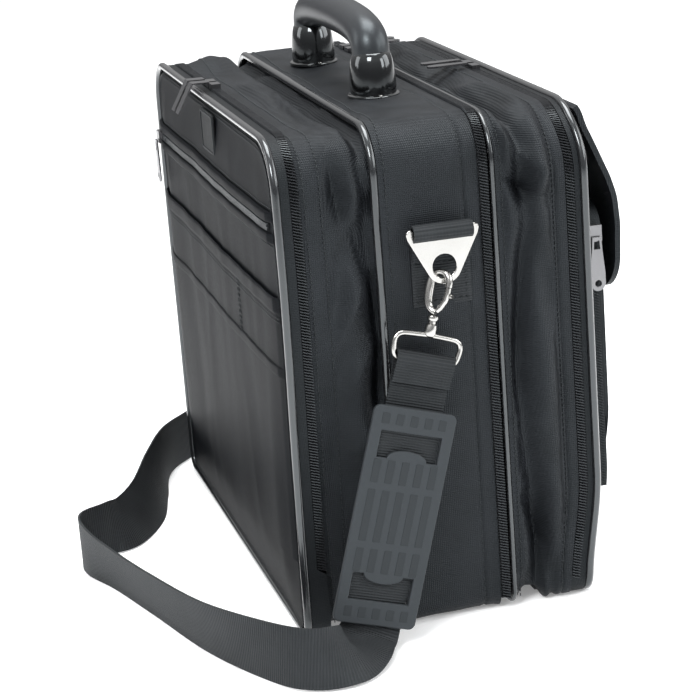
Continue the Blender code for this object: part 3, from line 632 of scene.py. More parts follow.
pocket = front_strip("slip_pocket_cloth", STRIP_HALF, 0.054, 0.232, 0.0012, 0.0011, nz=70)
fit(pocket, "front_cover", "slip_pocket")
fit(front_strip("slip_pocket_hem", STRIP_HALF, 0.2225, 0.2335, 0.0016, 0.0014, 0.0010), "front_cover")
for z in (0.2200, 0.2175):
    front_stitches(f"slip_pocket_hem_stitches_{z}", np.linspace(-0.182, 0.184, 60), z, 0.0014)
fit(front_strip("slip_pocket_band", STRIP_HALF, 0.1795, 0.1870, 0.0014, 0.0006, 0.0008), "front_cover")
for x in (0.0825, 0.0860):
    front_stitches(f"slip_pocket_seam_{x}", x, np.linspace(0.1845, 0.2300, 24), 0.0018)

# label: a plain woven patch with a raised border and an empty field
LABEL_X, LABEL_Z = 0.011, 0.3098


def label_loop(half_x, half_z, corner=0.003):
    return rounded(LABEL_X - half_x, LABEL_X + half_x, LABEL_Z - half_z, LABEL_Z + half_z, corner, 5)


label_y = on_front(LABEL_X, LABEL_Z, 0.0010)[1]
label_place = axes((0, label_y, 0), (1, 0, 0), (0, 0, 1), (0, -1, 0))
label = plate("label", [label_loop(0.0210, 0.0148)], 0.0014, 0.0004, label_place, LABEL)
fit(label, "front_cover", "label_patch")
border = [label_loop(0.0196, 0.0134, 0.002), label_loop(0.0184, 0.0122, 0.0015)]
lifted = Matrix.Translation((0, -0.0008, 0)) @ label_place
fit(plate("label_border", border, 0.0008, 0.0003, lifted, BAND), "front_cover")

# ------ front gusset, main body, rear section


def tilted(p, degrees):
    """The points turned about X, so that folds run aslant down the ends."""
    c, d = cos(radians(degrees)), sin(radians(degrees))
    return np.stack([p[..., 0], p[..., 1] * c - p[..., 2] * d, p[..., 1] * d + p[..., 2] * c], -1)


def valley(y, z, middle, sway, turns, start, width):
    """A long fold that wanders down an end between two heights."""
    return hill(y, middle + sway * np.sin(z * turns + start), width)


def fold(p, start, end, height, width):
    """A straight fold on the near and far ends, between two (y, z) points, that dies away past both."""
    start, end = np.array(start), np.array(end)
    along = (p[..., 1:] - start) @ (end - start) / ((end - start) @ (end - start))
    gap = p[..., 1:] - start - np.clip(along, 0, 1)[..., None] * (end - start)
    return height * np.exp(-((np.linalg.norm(gap, axis=-1) / width) ** 1.5))


def front_gusset_push(p):
    """How far the loose cloth behind the front cover stands out."""
    x, y, z = p[..., 0], p[..., 1], p[..., 2]
    inside = rise(y, -0.0935, -0.0905) * rise(-0.0423 - y, 0.0, 0.0030)
    loose = rise(y, -0.0850, -0.0720)
    q = tilted(p, 30)
    folds = creases(q, 0.062, 11, (0.45, 1.7, 0.6)) * 0.0050 + field(q, 0.042, 13, (0.5, 1.3, 0.7)) * 0.0046
    folds += 0.0060 * hill(y + 0.3 * (z - 0.290), -0.0560, 0.0080) * hill(z, 0.290, 0.030)
    swell = hill(y, -0.0630, 0.0100) * (0.0030 + 0.0040 * rise(z, 0.0, 0.12) * rise(0.300 - z, 0.0, 0.09))
    tuck = -valley(y, z, -0.0500, 0.0030, 33.0, 1.2, 0.0048) * (0.0056 + 0.0014 * np.sin(z * 41.0))
    tuck -= valley(y, z, -0.0690, 0.0060, 24.0, 0.2, 0.0070) * (0.0016 + 0.0018 * np.sin(z * 19.0 + 2.0))
    tent = fold(p, (-0.0600, 0.3240), (-0.0450, 0.2990), 0.0040, 0.0050)
    tent += fold(p, (-0.0715, 0.3080), (-0.0680, 0.2790), -0.0045, 0.0045)
    tent += fold(p, (-0.0600, 0.2700), (-0.0530, 0.2350), -0.0035, 0.0045)
    ends = rise(np.abs(x), 0.105, 0.160) * (0.7 - 0.3 * np.sign(x))
    saddle = -hill(y, -0.054, 0.016) * rise(z, 0.318, 0.326) * (0.0050 + 0.0020 * np.sin(x * 33.0))
    saddle *= 1 - 0.8 * ends
    puff = hill(y, -0.0760, 0.0200) * rise(z, 0.295, 0.325) * ends * 0.0068
    calm = 1 - 0.6 * rise(z, 0.315, 0.325) * ends
    return inside * (loose * folds * calm + swell + tuck + tent + saddle + puff)


def body_push(p):
    """How far the firm main body's cloth stands out."""
    y, z = p[..., 1], p[..., 2]
    inside = rise(y, -0.042, -0.038) * rise(0.0235 - y, 0.0, 0.004)
    soft = field(p, 0.075, 21, (1.0, 1.0, 0.8)) * 0.0026
    soft += field(tilted(p, 20), 0.032, 23, (1, 1.2, 0.6)) * 0.0014
    return inside * (soft + 0.0008 * hill(y, -0.008, 0.02)) - 0.0010 * hill(y, 0.0130, 0.0012)


def rear_push(p):
    """How far the loose rear section's cloth stands out."""
    x, y, z = p[..., 0], p[..., 1], p[..., 2]
    inside = rise(y, 0.0370, 0.0430) * rise(0.0725 - y, 0.0, 0.0060)
    q = tilted(p, -26)
    folds = creases(q, 0.060, 31, (0.45, 1.7, 0.6)) * 0.0058 + field(q, 0.042, 33, (0.5, 1.3, 0.7)) * 0.0048
    folds += 0.0055 * hill(y - 0.4 * (z - 0.275), 0.0560, 0.0075) * hill(z, 0.280, 0.028)
    tuck = -valley(y, z, 0.0485, 0.0040, 27.0, 0.5, 0.0055) * (0.0078 + 0.0018 * np.sin(z * 41.0))
    tuck -= valley(y, z, 0.0605, 0.0045, 30.0, 2.4, 0.0060) * (0.0026 + 0.0024 * np.sin(z * 23.0 + 1.0))
    swell = hill(y, 0.0600, 0.0070) * 0.0040
    notch = -hill(y, 0.0420, 0.0055) * rise(0.030 - z, 0.0, 0.022) * 0.0090
    saddle = -hill(y, 0.054, 0.012) * rise(z, 0.322, 0.331) * (0.0050 + 0.0020 * np.sin(x * 31.0 + 1.0))
    tent = fold(p, (0.0370, 0.3215), (0.0547, 0.3035), 0.0045, 0.0050)
    tent += fold(p, (0.0547, 0.3035), (0.0710, 0.2920), 0.0030, 0.0050)
    tent += fold(p, (0.0390, 0.2966), (0.0536, 0.2820), -0.0060, 0.0048)
    tent += fold(p, (0.0536, 0.2820), (0.0710, 0.2755), -0.0045, 0.0048)
    tent += fold(p, (0.0440, 0.0750), (0.0560, 0.0420), -0.0045, 0.0048)
    return inside * (folds + tuck + swell + saddle + tent) + notch - 0.0009 * hill(y, 0.0745, 0.0012)


def section_outline(half, low, high, corner=CORNER):
    return outline(half, low, high, corner, count=460)


def inner_wall(name, half, low, high, y, body):
    """A flat wall inside the bag that closes a section."""
    fit(shell(name, panel_grid(half, low, high, lambda p: y, nx=40, nz=40), 0.0028, LINING), body)


gusset = section_outline(GUSSET_HALF, 0.0064, GUSSET_TOP)
gusset = ring("front_gusset_cloth", gusset, np.linspace(-0.0935, -0.0423, 44), 0.0022, front_gusset_push)
fit(gusset, "case", "front_gusset")
body = section_outline(HALF, 0.0, TOP)
body = ring("main_body_cloth", body, np.linspace(-0.042, 0.0235, 40), 0.003, body_push)
fit(body, "case", "main_body")
inner_wall("main_body_wall", HALF - 0.002, 0.002, TOP - 0.002, -0.0418, "case")
first, last = section_outline(HALF, 0.0, SECTION_TOP), section_outline(HALF, 0.0, SECTION_TOP, REAR_CORNER)
rear = ring("rear_section_cloth", first, np.linspace(0.0350, 0.0815, 40), 0.003, rear_push, last)
fit(rear, "rear_section", "rear_section")
inner_wall("rear_section_wall", HALF - 0.006, 0.010, SECTION_TOP - 0.006, 0.0352, "rear_section")
fit(piping("main_body_piping", HALF - 0.0013, 0.0035, TOP - 0.0013, -0.0445), "case", "main_piping")
slim_piping = piping("rear_section_piping", HALF - 0.0002, 0.0021, TOP - 0.0012, 0.0331, radius=0.0017)
fit(slim_piping, "rear_section", "section_piping")

FRONT_ZIP_PATH = (0.1905, 0.3315, 0.048, FRONT_ZIP)  # half width, top, lower end and y of each long zip
MAIN_ZIP_PATH = (HALF, TOP, 0.008, MAIN_ZIP)
REAR_ZIP_PATH = (COVER_HALF, 0.3300, 0.042, REAR_ZIP)
zip_half("front_zip_inner", "case", *FRONT_ZIP_PATH, 1, 0.036)
zip_half("front_zip_outer", "front_cover", *FRONT_ZIP_PATH, -1, 0.036)
zip_half("main_zip_inner", "case", *MAIN_ZIP_PATH, -1, CORNER)
zip_half("main_zip_outer", "rear_section", *MAIN_ZIP_PATH, 1, CORNER)
zip_half("rear_zip_inner", "rear_section", *REAR_ZIP_PATH, -1, REAR_CORNER)
zip_half("rear_zip_outer", "rear_cover", *REAR_ZIP_PATH, 1, REAR_CORNER)
for end in (1, -1):
    for side in (-1, 1):
        z = staggered(0.0135, 0.0415, side)
        row = points_at(end * (COVER_HALF + 0.0005), REAR_ZIP + side * 0.00145, z)
        teeth_row(f"rear_zip_tail_{end}_{side}", row, (end, 0, 0), BIG_TEETH, "rear_section")

SEAM_CORNER = 0.2 * CORNER + 0.8 * REAR_CORNER
for name, half, top, low, y, corner, push, body in (
    ("gusset_seam_front", GUSSET_HALF, GUSSET_TOP, 0.010, -0.0800, CORNER, front_gusset_push, "case"),
    ("gusset_seam_edge", GUSSET_HALF, GUSSET_TOP, 0.010, -0.0905, CORNER, front_gusset_push, "case"),
    ("body_seam_front", HALF, TOP, 0.006, -0.0375, CORNER, body_push, "case"),
    ("body_seam_rear", HALF, TOP, 0.006, 0.0130, CORNER, body_push, "case"),
    ("section_seam_front", HALF, SECTION_TOP, 0.006, 0.0385, CORNER, rear_push, "rear_section"),
    ("section_seam_rear", HALF, SECTION_TOP, 0.006, 0.0730, SEAM_CORNER, rear_push, "rear_section"),
):
    flat = u_path(half, top, low, corner, 400)
    line, out = upright(flat, y), upright(outward(flat, closed=False), 0.0)
    line += out * (push(line) + 0.0003)[:, None]
    fit(stitches(name + "_stitches", line, out), body)

# ------ rear cover, pocket and flap


def rear_y(p):
    """The rear cover's face, nearly flat."""
    return FACE_REAR - 0.0020 + face_middle(p, 0.030, 0.040, 0.030) * 0.0018


rear_face = shell("rear_face", panel_grid(*FACE_CLOTH, rear_y, 0.040, back=True), 0.002, PANEL)
bent(rear_face, *REAR_BEND, "rear_panel", "rear_foot")
REAR_ROLL = ((0.0886, 0.0), (0.0905, 0.0), (0.0922, 0.0), (0.0930, 0.0020), (0.0938, 0.0040),
             (0.0946, 0.0055), (0.0955, 0.0066))
rear_grid = rolled_grid(REAR_ROLL, REAR_CORNER)
rear_grid[:, 0, 1] -= 0.0068 * rise(0.043 - rear_grid[:, 0, 2], 0.0, 0.002)
bent(shell("rear_edge", rear_grid, 0.0018, BAND, wrap=True), *REAR_BEND)
rear_pipe = piping("rear_cover_piping", COVER_HALF - 0.0002, 0.0024, COVER_TOP - 0.0002, 0.0950, REAR_CORNER)
bent(rear_pipe, *REAR_BEND, "rear_piping")


def pocket_push(p):
    """How far the rear pocket's sides stand out."""
    y = p[..., 1]
    return rise(y, 0.098, 0.102) * rise(0.1135 - y, 0.0, 0.004) * (field(p, 0.03, 41) * 0.0022 + 0.0004)


def pocket_depth(z):
    """The pocket's face stands out less towards its lower edge."""
    return POCKET_FACE - 0.0006 - 0.0145 * rise(0.125 - z, 0.0, 0.095)


pocket_flat = outline(0.172, 0.032, 0.262, 0.020, 0.020)
pocket_grid = np.zeros((300, 14, 3))
pocket_grid[:, :, [0, 2]] = pocket_flat[:, None, :]
pocket_grid[:, :, 1] = 0.0972 + (pocket_depth(pocket_flat[:, 1]) - 0.0972)[:, None] * np.linspace(0, 1, 14)
pocket_grid[:, :, 0] += np.sign(pocket_grid[:, :, 0]) * pocket_push(pocket_grid)
fit(shell("rear_pocket_side", pocket_grid, 0.0022, BAND, wrap=True), "rear_cover", "rear_pocket")


def pocket_y(p):
    x, z = p[..., 0], p[..., 2]
    edge = rise(half_at(z, 0.170, 0.034, 0.260, 0.02, 0.02) - np.abs(x), 0.0, 0.03) * rise(z, 0.034, 0.08)
    return pocket_depth(z) + edge * (0.0008 + field(p, 0.09, 43, (1, 0, 0.5)) * 0.0022)


pocket_face = panel_grid(0.1716, 0.0324, 0.2616, pocket_y, 0.020, 0.020, back=True, nx=110, nz=90)
fit(shell("rear_pocket_face", pocket_face, 0.002, PANEL), "rear_cover")
seam = upright(outline(0.1650, 0.0400, 0.2550, 0.016, 0.016), 0.0)
seam[:, 1] = pocket_y(seam) + 0.0002
fit(stitches("rear_pocket_stitches", seam, (0, 1, 0)), "rear_cover")

SIDE_Y = 0.1065
z = np.linspace(0.068, 0.240, 60)[:, None]
strip = points_at(0.1738, np.linspace(SIDE_Y - 0.003, SIDE_Y + 0.003, 4), z)
fit(shell("side_zip_tape", strip, 0.001, TAPE), "rear_cover", "side_zip")
for side in (1, -1):
    row = points_at(0.1741, SIDE_Y + side * 0.00105, staggered(0.069, 0.239, side))
    teeth_row(f"side_zip_teeth_{side}", row, (1, 0, 0), SMALL_TEETH, "rear_cover")

flap_line = [(0.0990, 0.3285), (0.1010, 0.3262), (0.1045, 0.3140), (0.1130, 0.2960), (0.1205, 0.2800)]
flap_line += [(0.1243, 0.2660), (0.1250, 0.2480), (0.1232, 0.2240), (0.1200, 0.2000)]
flap_line = smoothed(resample(flap_line, 60), 3)
flap_long, flap_corner = length_of(flap_line), 0.024
run = np.linspace(0, flap_long, 60)
past = np.clip(run - (flap_long - flap_corner), 0, flap_corner - 0.0001)
flap_half = 0.170 - (flap_corner - np.sqrt(flap_corner**2 - past**2))
flap_x = flap_half[:, None] * np.linspace(-1, 1, 110)
flap_grid = points_at(flap_x, flap_line[:, :1] + 0.0019, flap_line[:, 1:])
flap_grid[:, :, 1] += field(flap_grid, 0.075, 51, (1, 0.3, 0.7)) * 0.0042 * rise(run, 0.02, 0.06)[:, None]
fit(shell("flap_cloth", flap_grid, 0.0038, SHELL), "flap", "flap")

# ------ handle

HANDLE_Y, SPAN = -0.011, 0.082
GRIP_END, GRIP_TOP = 0.3628, 0.3805
turns = np.linspace(0, pi, 90)
hx = -SPAN * np.sign(np.cos(turns)) * np.abs(np.cos(turns)) ** 0.75
hz = GRIP_END + (GRIP_TOP - GRIP_END) * np.sin(turns) ** 0.62
grip = np.vstack([[hx[0], HANDLE_Y, 0.3620], points_at(hx, HANDLE_Y, hz), [hx[-1], HANDLE_Y, 0.3620]])
fit(tube("handle_rubber", smoothed(resample(grip, 120), 4), 0.0127, GRIP, 28), "case", "handle_grip")
CAP = [(0.0196, 0.3342), (0.0202, 0.3346), (0.0202, 0.3360), (0.0194, 0.3366), (0.0180, 0.3368),
       (0.0181, 0.3400), (0.0180, 0.3440), (0.0177, 0.3490), (0.0172, 0.3540), (0.0164, 0.3585),
       (0.0152, 0.3620), (0.0138, 0.3640), (0.0128, 0.3646)]
RIVET = [(0.0013, 0.3362), (0.0013, 0.3370), (0.0008, 0.3374), (0.0002, 0.3375)]
for name, x in (("near", SPAN), ("far", -SPAN)):
    cap = lathe(f"handle_cap_{name}_moulded", CAP, (x, HANDLE_Y), GLOSS, 0.86)
    fit(cap, "case", f"handle_cap_{name}")
    for dx in (-0.0188, 0.0188):
        fit(lathe(f"handle_rivet_{name}_{dx}", RIVET, (x + dx, HANDLE_Y), NICKEL, sides=14), "case")

# ------ sliders and pullers on the CAD's own shapes


def dress(node, mat, bevel=0.0):
    """A CAD piece shown as it is, with a soft edge and its own finish."""
    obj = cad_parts[node]
    obj.data.materials.clear()
    obj.data.materials.append(mat)
    if bevel:
        step = obj.modifiers.new("soft edge", "BEVEL")
        step.width = bevel
        step.segments = 3
        step.limit_method = "ANGLE"
    return obj


for node in ("laptop_divider", "organiser_panel"):
    dress(node, LINING)
for kind in ("front", "main", "rear"):
    for i in (1, 2):
        dress(f"{kind}_slider_{i}", SATIN if kind == "front" else GUNMETAL, 0.0011)
        dress(f"{kind}_puller_{i}", GUNMETAL, 0.0004)
dress("pocket_slider", GUNMETAL, 0.0011)
dress("side_slider", SATIN, 0.0011)


def tab_loops(length, wide):
    """A pull tab's outline, its long slot at the top and its round eye at the bottom."""
    half = wide / 2
    body = [(half * 0.62, 0.0005), (half * 0.72, 0.009), (half, length - 0.012)]
    body += arc(0.0, length - half, half, 0, 180, 10)
    body += [(-half, length - 0.012), (-half * 0.72, 0.009), (-half * 0.62, 0.0005)]
    slot = [(half * 0.32, 0.0030), (half * 0.36, 0.0085), (-half * 0.36, 0.0085), (-half * 0.32, 0.0030)]
    eye = arc(0.0, length - half, half * 0.42, 0, 340, 16)
    return [body, slot, eye]


lo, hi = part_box("side_puller")
place = axes(((lo.x + hi.x) / 2, SIDE_Y, hi.z + 0.0005), (0, 1, 0), (0, 0, -1), (1, 0, 0))
tab = plate("side_pull_tab", tab_loops(0.037, 0.0105), 0.0014, 0.0004, place, SATIN)
fit(tab, "side_puller", "side_puller")
lo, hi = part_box("pocket_puller")
place = axes(((lo.x + hi.x) / 2, (lo.y + hi.y) / 2, hi.z + 0.0005), (1, 0, 0), (0, 0, -1), (0, -1, 0))
tab = plate("pocket_pull_tab", tab_loops(0.034, 0.0105), 0.0014, 0.0004, place, GUNMETAL)
fit(tab, "pocket_puller", "pocket_puller")

# ------ rings, hooks and swivels

RING_OUT, RING_Y, RING_Z, HOLE_Z = 0.2035, -0.005, 0.2655, 0.2430
UP = Vector((0, 0, 1))


def strap_frame(top, down, out):
    """A frame at the top of a hanging hook: X out of the bag, Y across the strap, Z up along it."""
    up = -Vector(down).normalized()
    normal = (Vector(out) - up * Vector(out).dot(up)).normalized()
    return axes(top, normal, up.cross(normal), up)


NEAR = strap_frame((RING_OUT, -0.0065, 0.2392), (0.0185, -0.0679, -0.2220), (1, 0, 0))
FAR = strap_frame((-RING_OUT, -0.0050, 0.2392), (-0.0900, -0.0300, -0.9950), (-1, 0, 0))


def ring_loops():
    """A ring's outline and round hole, in (y, z) about its bar: ears, sloping sides and a rounded tip."""
    tip = arc(0.0, HOLE_Z - RING_Z, 0.0118, 208, 332, 18)
    right = arc(0.0212, 0.0000, 0.0029, -25, 150, 9)
    left = [(-y, z) for y, z in right[::-1]]
    edge = tip + [(0.0232, -0.0035)] + right + [(0.0183, -0.0017)]
    edge += [(-0.0183, -0.0017)] + left + [(-0.0232, -0.0035)]
    return [edge, arc(0.0, HOLE_Z - RING_Z, 0.0078, 0, 350, 35)]


def in_frame(m, points):
    return [m @ Vector(p) for p in points]


def turned(points):
    """(across, up) points as (x, y, z) ones, in a hook's plane, which stands 45 degrees to the bag's end."""
    return [(p * cos(radians(45)), p * sin(radians(45)), q) for p, q in points]


def web_strip(name, path, m):
    """Webbing that follows a path of (out, up) points in a frame, with its width along the frame's Y."""
    p = resample(path, max(8, int(length_of(np.array(path)) / 0.0018)))
    gone = distances(p)
    grid = points_at(p[:, :1], np.linspace(-WEB_WIDE / 2, WEB_WIDE / 2, 9), p[:, 1:])
    uv = np.stack(np.broadcast_arrays(grid[:, :, 1], gone[:, None]), -1)
    obj = shell(name, grid, WEB_THICK, WEBBING, uv=uv)
    obj.data.transform(m)
    return obj


def webbing_patch(which, side):
    """The webbing loop that holds a ring: a patch sewn to the bag's end, with a rivet."""
    path = [(0.1961, 0.2160), (0.1963, 0.2500), (0.1966, 0.2560), (0.1985, 0.2605), (0.1996, 0.2630)]
    path += arc(RING_OUT, RING_Z, 0.0040, 175, -80, 16)
    path += [(0.2008, 0.2598), (0.1990, 0.2560), (0.1984, 0.2500), (0.1983, 0.2462)]
    loop = web_strip(f"{which}_webbing_loop", path, axes((0, RING_Y, 0), (side, 0, 0), (0, side, 0), UP))
    fit(loop, "case", f"{which}_webbing_patch")
    corners = [(-0.0165, 0.2190), (0.0165, 0.2190), (0.0165, 0.2440), (-0.0165, 0.2440)]
    corners = [(side * 0.1964, RING_Y + y, z) for y, z in corners]
    for k in range(4):
        line = np.linspace(corners[k], corners[(k + 1) % 4], 12)
        fit(stitches(f"{which}_patch_stitches_{k}", line, (side, 0, 0)), "case")
    profile = [(0.0050, 0.0), (0.0050, 0.0010), (0.0040, 0.0018), (0.0004, 0.0020)]
    rivet = lathe(f"{which}_patch_rivet", profile, (0, 0), NICKEL, sides=24)
    place = axes((side * 0.1990, RING_Y - 0.0010, 0.2548), (0, 1, 0), (0, 0, side), (side, 0, 0))
    rivet.data.transform(place)
    fit(rivet, "case")


def metal_ring(which, side):
    place = axes((side * RING_OUT, RING_Y, RING_Z), (0, 1, 0), (0, 0, 1), (1, 0, 0))
    obj = plate(f"{which}_ring_plate", ring_loops(), 0.0024, 0.0007, place, NICKEL)
    fit(obj, f"{which}_ring", f"{which}_ring")


def snap_hook(which, m):
    """A hook's claw, and its sprung gate with a stud for the thumb."""
    claw = [(0.0014, -0.0262), (-0.0012, -0.0259), (-0.0040, -0.0240), (-0.0058, -0.0205), (-0.0066, -0.0150)]
    claw += arc(0.0, -0.0066, 0.0066, 180, 12, 14) + [(0.0066, -0.0075), (0.0066, -0.0088)]
    claw = smoothed(resample(claw, 46), 3)
    s = np.linspace(0, 1, 46)
    thick = 0.0023 + 0.0009 * hill(s, 0.36, 0.20) - 0.0004 * hill(s, 0.72, 0.10)
    claw = tube(f"{which}_hook_claw", in_frame(m, turned(claw)), thick, NICKEL, 16)
    fit(claw, f"{which}_hook", f"{which}_hook")
    jaw = [(0.0066, -0.0093), (0.0068, -0.0130), (0.0060, -0.0180), (0.0036, -0.0228), (0.0018, -0.0250)]
    lever = tube(f"{which}_gate_lever", in_frame(m, turned(resample(jaw, 26))), 0.0019, NICKEL, 14)
    fit(lever, f"{which}_hook_gate", f"{which}_hook_gate")
    stud = in_frame(m, turned([(0.0070, -0.0150), (0.0088, -0.0146), (0.0108, -0.0140)]))
    fit(tube(f"{which}_gate_stud", stud, [0.0011, 0.0011, 0.0017], NICKEL, 12), f"{which}_hook_gate")


def swivel(which, m):
    """The barrel and wire loop under a hook, and the strap's sewn end round the wire."""
    profile = [(0.0020, -0.0282), (0.0034, -0.0286), (0.0038, -0.0300), (0.0034, -0.0314), (0.0026, -0.0322),
               (0.0026, -0.0336), (0.0036, -0.0344), (0.0040, -0.0368), (0.0040, -0.0400), (0.0034, -0.0416),
               (0.0022, -0.0424)]
    barrel = lathe(f"{which}_swivel_barrel", profile, (0, 0), NICKEL, sides=28)
    barrel.data.transform(m)
    fit(barrel, f"{which}_swivel", f"{which}_swivel_loop")
    wire = arc(-0.0170, -0.0475, 0.0056, 200, 90, 8) + [(0.0, -0.0412)]
    wire += arc(0.0170, -0.0475, 0.0056, 90, -20, 8)
    wire += arc(0.0180, -0.0548, 0.0034, -10, -90, 5) + arc(-0.0180, -0.0548, 0.0034, -90, -170, 5)
    wire = resample(wire, 90, True)
    for _ in range(5):
        wire = (np.roll(wire, 1, 0) + 2 * wire + np.roll(wire, -1, 0)) / 4
    wire = in_frame(m, [(0, y, z) for y, z in wire])
    fit(tube(f"{which}_swivel_wire", wire, 0.0018, NICKEL, 12, closed=True), f"{which}_swivel")
    strap_end = [(0.0016, -0.0735), (0.0019, -0.0690), (0.0030, -0.0630)]
    strap_end += arc(0.0, -0.0582, 0.0040, -10, 190, 14)
    strap_end += [(-0.0022, -0.0640), (-0.0006, -0.0700), (-0.0002, -0.0800), (-0.0002, -0.0900)]
    fit(web_strip(f"{which}_strap_fold", strap_end[::-1], m), f"{which}_swivel", f"{which}_strap_end")
    for z in (-0.0693, -0.0718):
        line = np.linspace((0.0021, -0.0180, z), (0.0018, 0.0180, z), 14)
        obj = stitches(f"{which}_fold_stitches_{z}", line, (1, 0, 0), pitch=0.0026)
        obj.data.transform(m)
        fit(obj, f"{which}_swivel")


for which, side, m in (("near", 1, NEAR), ("far", -1, FAR)):
    webbing_patch(which, side)
    metal_ring(which, side)
    snap_hook(which, m)
    swivel(which, m)

# ------ shoulder pad and adjuster

PAD_TOP, PAD_LONG, PAD_HALF = -0.0890, 0.1430, 0.0280
PAD_LOW = PAD_TOP - PAD_LONG
BAR_ROWS = ((-0.0115, -0.0045), (-0.0500, -0.0345), (-0.0885, -0.0545), (-0.1085, -0.0930),
            (-0.1385, -0.1315))


def pad_place(out):
    """The pad's plane, this far out of the strap's middle."""
    return NEAR @ axes((out, 0, 0), (0, 1, 0), (0, 0, 1), (1, 0, 0))


def pad_window(top):
    """A window across the pad, with an arched tongue on its lower edge."""
    half, high, deep, tongue_half = 0.0205, 0.0175, 0.0060, 0.0135
    flat = [(half, 0.0), (half, high), (-half, high), (-half, 0.0), (-tongue_half, 0.0)]
    flat += [(tongue_half * cos(t), deep * sin(t)) for t in np.linspace(pi, 0, 15)]
    return [(y, top - high + z) for y, z in flat]


top_window = pad_window(PAD_TOP - 0.0160)
low_window = [(y, 2 * (PAD_TOP - PAD_LONG / 2) - z) for y, z in top_window]
pad_edge = rounded(-PAD_HALF, PAD_HALF, PAD_LOW, PAD_TOP, 0.0045, 7)
pad = plate("pad_moulding", [pad_edge, top_window, low_window], 0.0034, 0.0008, pad_place(0.0037), PADDING)
fit(pad, "shoulder_pad", "shoulder_pad")
bars = [(k * 0.0096, PAD_TOP + low, PAD_TOP + high) for low, high in BAR_ROWS for k in range(-2, 3)]
for k, (y, low, high) in enumerate(bars):
    bar = [rounded(y - 0.0026, y + 0.0026, low, high, 0.0006, 7)]
    fit(plate(f"pad_bar_{k}", bar, 0.0008, 0.0002, pad_place(0.0052), BARS), "shoulder_pad")
wire = resample(rounded(-0.0222, 0.0222, PAD_LOW - 0.0010, PAD_LOW + 0.0140, 0.0040, 7), 80, True)
wire = in_frame(NEAR, [(-0.0038, y, z) for y, z in wire])
fit(tube("adjuster_wire", wire, 0.0015, NICKEL, 12, closed=True), "strap_adjuster", "strap_adjuster")

# ------ shoulder strap


def on_strap(m, down):
    """A row of the strap's route: a point this far down a frame, and the direction of the strap's width."""
    return (*(m @ Vector((0, 0, down))), *(m.to_3x3() @ Vector((0, 1, 0))))


route = [on_strap(NEAR, -down) for down in (0.0925, 0.125, 0.158, 0.190, 0.2150, 0.2335)]
route += [
    (0.2285, -0.0800, 0.0105, 0.25, 0.90, -0.25),
    (0.2430, -0.0870, 0.0108, 0.55, 0.72, -0.38),
    (0.2610, -0.1000, 0.0165, 0.62, 0.10, -0.78),
    (0.2650, -0.1240, 0.0200, 0.10, -0.25, -0.96),
    (0.2450, -0.1440, 0.0205, -0.10, -0.15, -0.98),
    (0.1870, -0.1740, 0.0200, -0.25, 0.06, -0.97),
    (0.1140, -0.1960, 0.0190, -0.42, 0.11, -0.90),
    (0.0500, -0.2140, 0.0190, -0.40, 0.10, -0.91),
    (0.0120, -0.2260, 0.0205, -0.12, 0.03, -0.99),
    (-0.0120, -0.2240, 0.0205, 0.00, 0.00, -1.00),
    (-0.0240, -0.2050, 0.0205, 0.10, 0.00, -1.00),
    (-0.0420, -0.1860, 0.0180, 0.45, 0.25, -0.85),
    (-0.0850, -0.1640, 0.0165, 0.50, 0.35, -0.80),
    (-0.1350, -0.1480, 0.0185, 0.30, 0.25, -0.90),
    (-0.1850, -0.1300, 0.0205, 0.05, 0.05, -1.00),
    (-0.2250, -0.0980, 0.0210, -0.05, 0.10, -1.00),
    (-0.2470, -0.0560, 0.0340, -0.10, 0.45, -0.88),
    (-0.2420, -0.0260, 0.0640, -0.05, 0.90, -0.42),
]
far = [on_strap(FAR, -down) for down in (0.135, 0.112, 0.0925)]
route += [(*p[:3], *(-w for w in p[3:])) for p in far]


def smooth_route(rows, spacing):
    """Catmull-Rom curve through the rows."""
    rows = np.array(rows)
    padded = np.vstack([2 * rows[0] - rows[1], rows, 2 * rows[-1] - rows[-2]])
    out = []
    for a, b, c, d in zip(padded, padded[1:], padded[2:], padded[3:]):
        steps = max(2, round(float(np.linalg.norm((c - b)[:3])) / spacing))
        for t in np.arange(steps) / steps:
            bend = (2 * a - 5 * b + 4 * c - d) * t**2 + (3 * b - a - 3 * c + d) * t**3
            out.append(0.5 * (2 * b + (c - a) * t + bend))
    return np.array(out + [rows[-1]])


rows = smooth_route(route, 0.003)
middle = rows[:, :3]
along = unit(np.gradient(middle, axis=0))
wide = unit(rows[:, 3:] - along * (rows[:, 3:] * along).sum(1, keepdims=True))
face_out = np.cross(along, wide)
gone = distances(middle)
across = np.linspace(-WEB_WIDE / 2, WEB_WIDE / 2, 11)
grid = middle[:, None, :] + wide[:, None, :] * across[None, :, None] + face_out[:, None, :] * (WEB_THICK / 2)
uv = np.stack(np.broadcast_arrays(across[None, :], gone[:, None]), -1)
strap = shell("strap_webbing", grid, WEB_THICK, WEBBING, uv=uv)
fit(strap, "case", "shoulder_strap")

# ------ floor, light and camera

bpy.ops.mesh.primitive_plane_add(size=12.0, location=(0, 0, -0.0005))
floor = bpy.context.object
floor.name = "floor"
n = Nodes("floor_paper", 0.85)
n.tint(n.noise(1.5), (0.90, 0.905, 0.91), (0.93, 0.935, 0.94))
n.shader.inputs["Emission Color"].default_value = (1.0, 1.0, 1.0, 1.0)
n.shader.inputs["Emission Strength"].default_value = 0.22
floor.data.materials.append(n.mat)


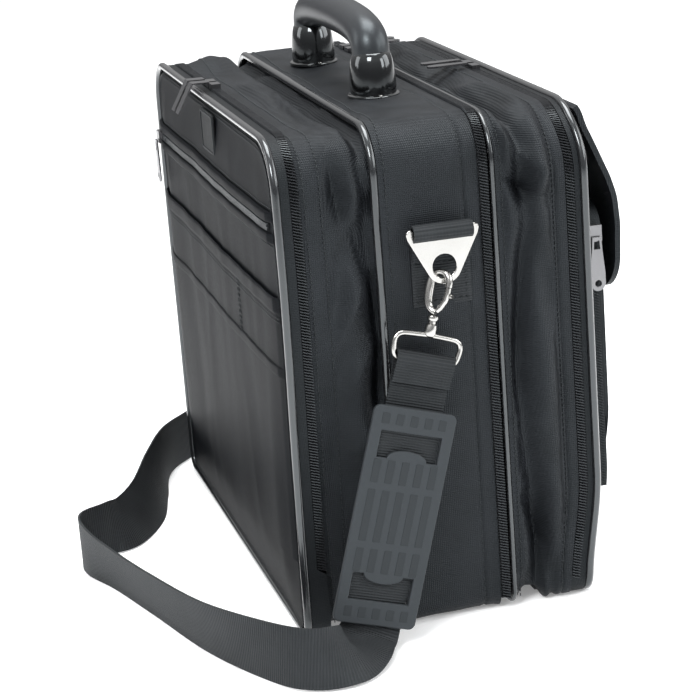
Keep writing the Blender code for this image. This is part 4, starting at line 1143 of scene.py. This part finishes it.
def lamp(name, at, size, power):
    """A rectangular lamp that faces the bag's middle."""
    data = bpy.data.lights.new(name, "AREA")
    data.shape = "RECTANGLE"
    data.size, data.size_y = size
    data.energy = power
    obj = bpy.data.objects.new(name, data)
    obj.location = at
    obj.rotation_euler = (Vector((0, 0, 0.15)) - Vector(at)).to_track_quat("-Z", "Y").to_euler()
    bpy.context.scene.collection.objects.link(obj)
    return obj


lamps = [lamp("key", (1.6, -1.3, 2.0), (0.9, 0.9), 52), lamp("fill", (1.9, 1.9, 1.3), (0.8, 1.2), 20),
         lamp("top", (-0.2, 0.1, 2.3), (1.5, 1.5), 60), lamp("left", (-0.9, -2.4, 1.2), (1.0, 1.4), 14),
         lamp("back", (0.5, 2.5, 1.3), (1.6, 1.6), 30)]
world = bpy.data.worlds.new("studio")
world.use_nodes = True
sky = world.node_tree
where = sky.nodes.new("ShaderNodeTexCoord").outputs["Generated"]
height = sky.nodes.new("ShaderNodeSeparateXYZ")
sky.links.new(where, height.inputs[0])
ramp = sky.nodes.new("ShaderNodeValToRGB")
sky.links.new(height.outputs["Z"], ramp.inputs["Fac"])
ramp.color_ramp.elements[0].position, ramp.color_ramp.elements[0].color = 0.02, (0.30, 0.30, 0.31, 1)
ramp.color_ramp.elements[1].position, ramp.color_ramp.elements[1].color = 0.55, (1.0, 1.0, 1.0, 1)
sky.links.new(ramp.outputs["Color"], sky.nodes["Background"].inputs["Color"])
sky.nodes["Background"].inputs["Strength"].default_value = 0.80
bpy.context.scene.world = world
bpy.context.scene.view_settings.view_transform = "Standard"

camera = bpy.data.cameras.new("camera")
camera.lens = 118.29
camera.sensor_width = 36.0
view = Vector((0.93325, -0.22958, 0.27631))
right = Vector((0.23888, 0.97105, 0.0))
up = Vector((-0.26831, 0.06600, 0.96107))
holder = bpy.data.objects.new("camera", camera)
roll_cos, roll_sin = 0.99726, 0.07401
stand = Vector((0.0, -0.0201, 0.1364)) + view * 1.6695
holder.matrix_world = axes(stand, right * roll_cos - up * roll_sin, right * roll_sin + up * roll_cos, view)
bpy.context.scene.collection.objects.link(holder)
bpy.context.scene.camera = holder
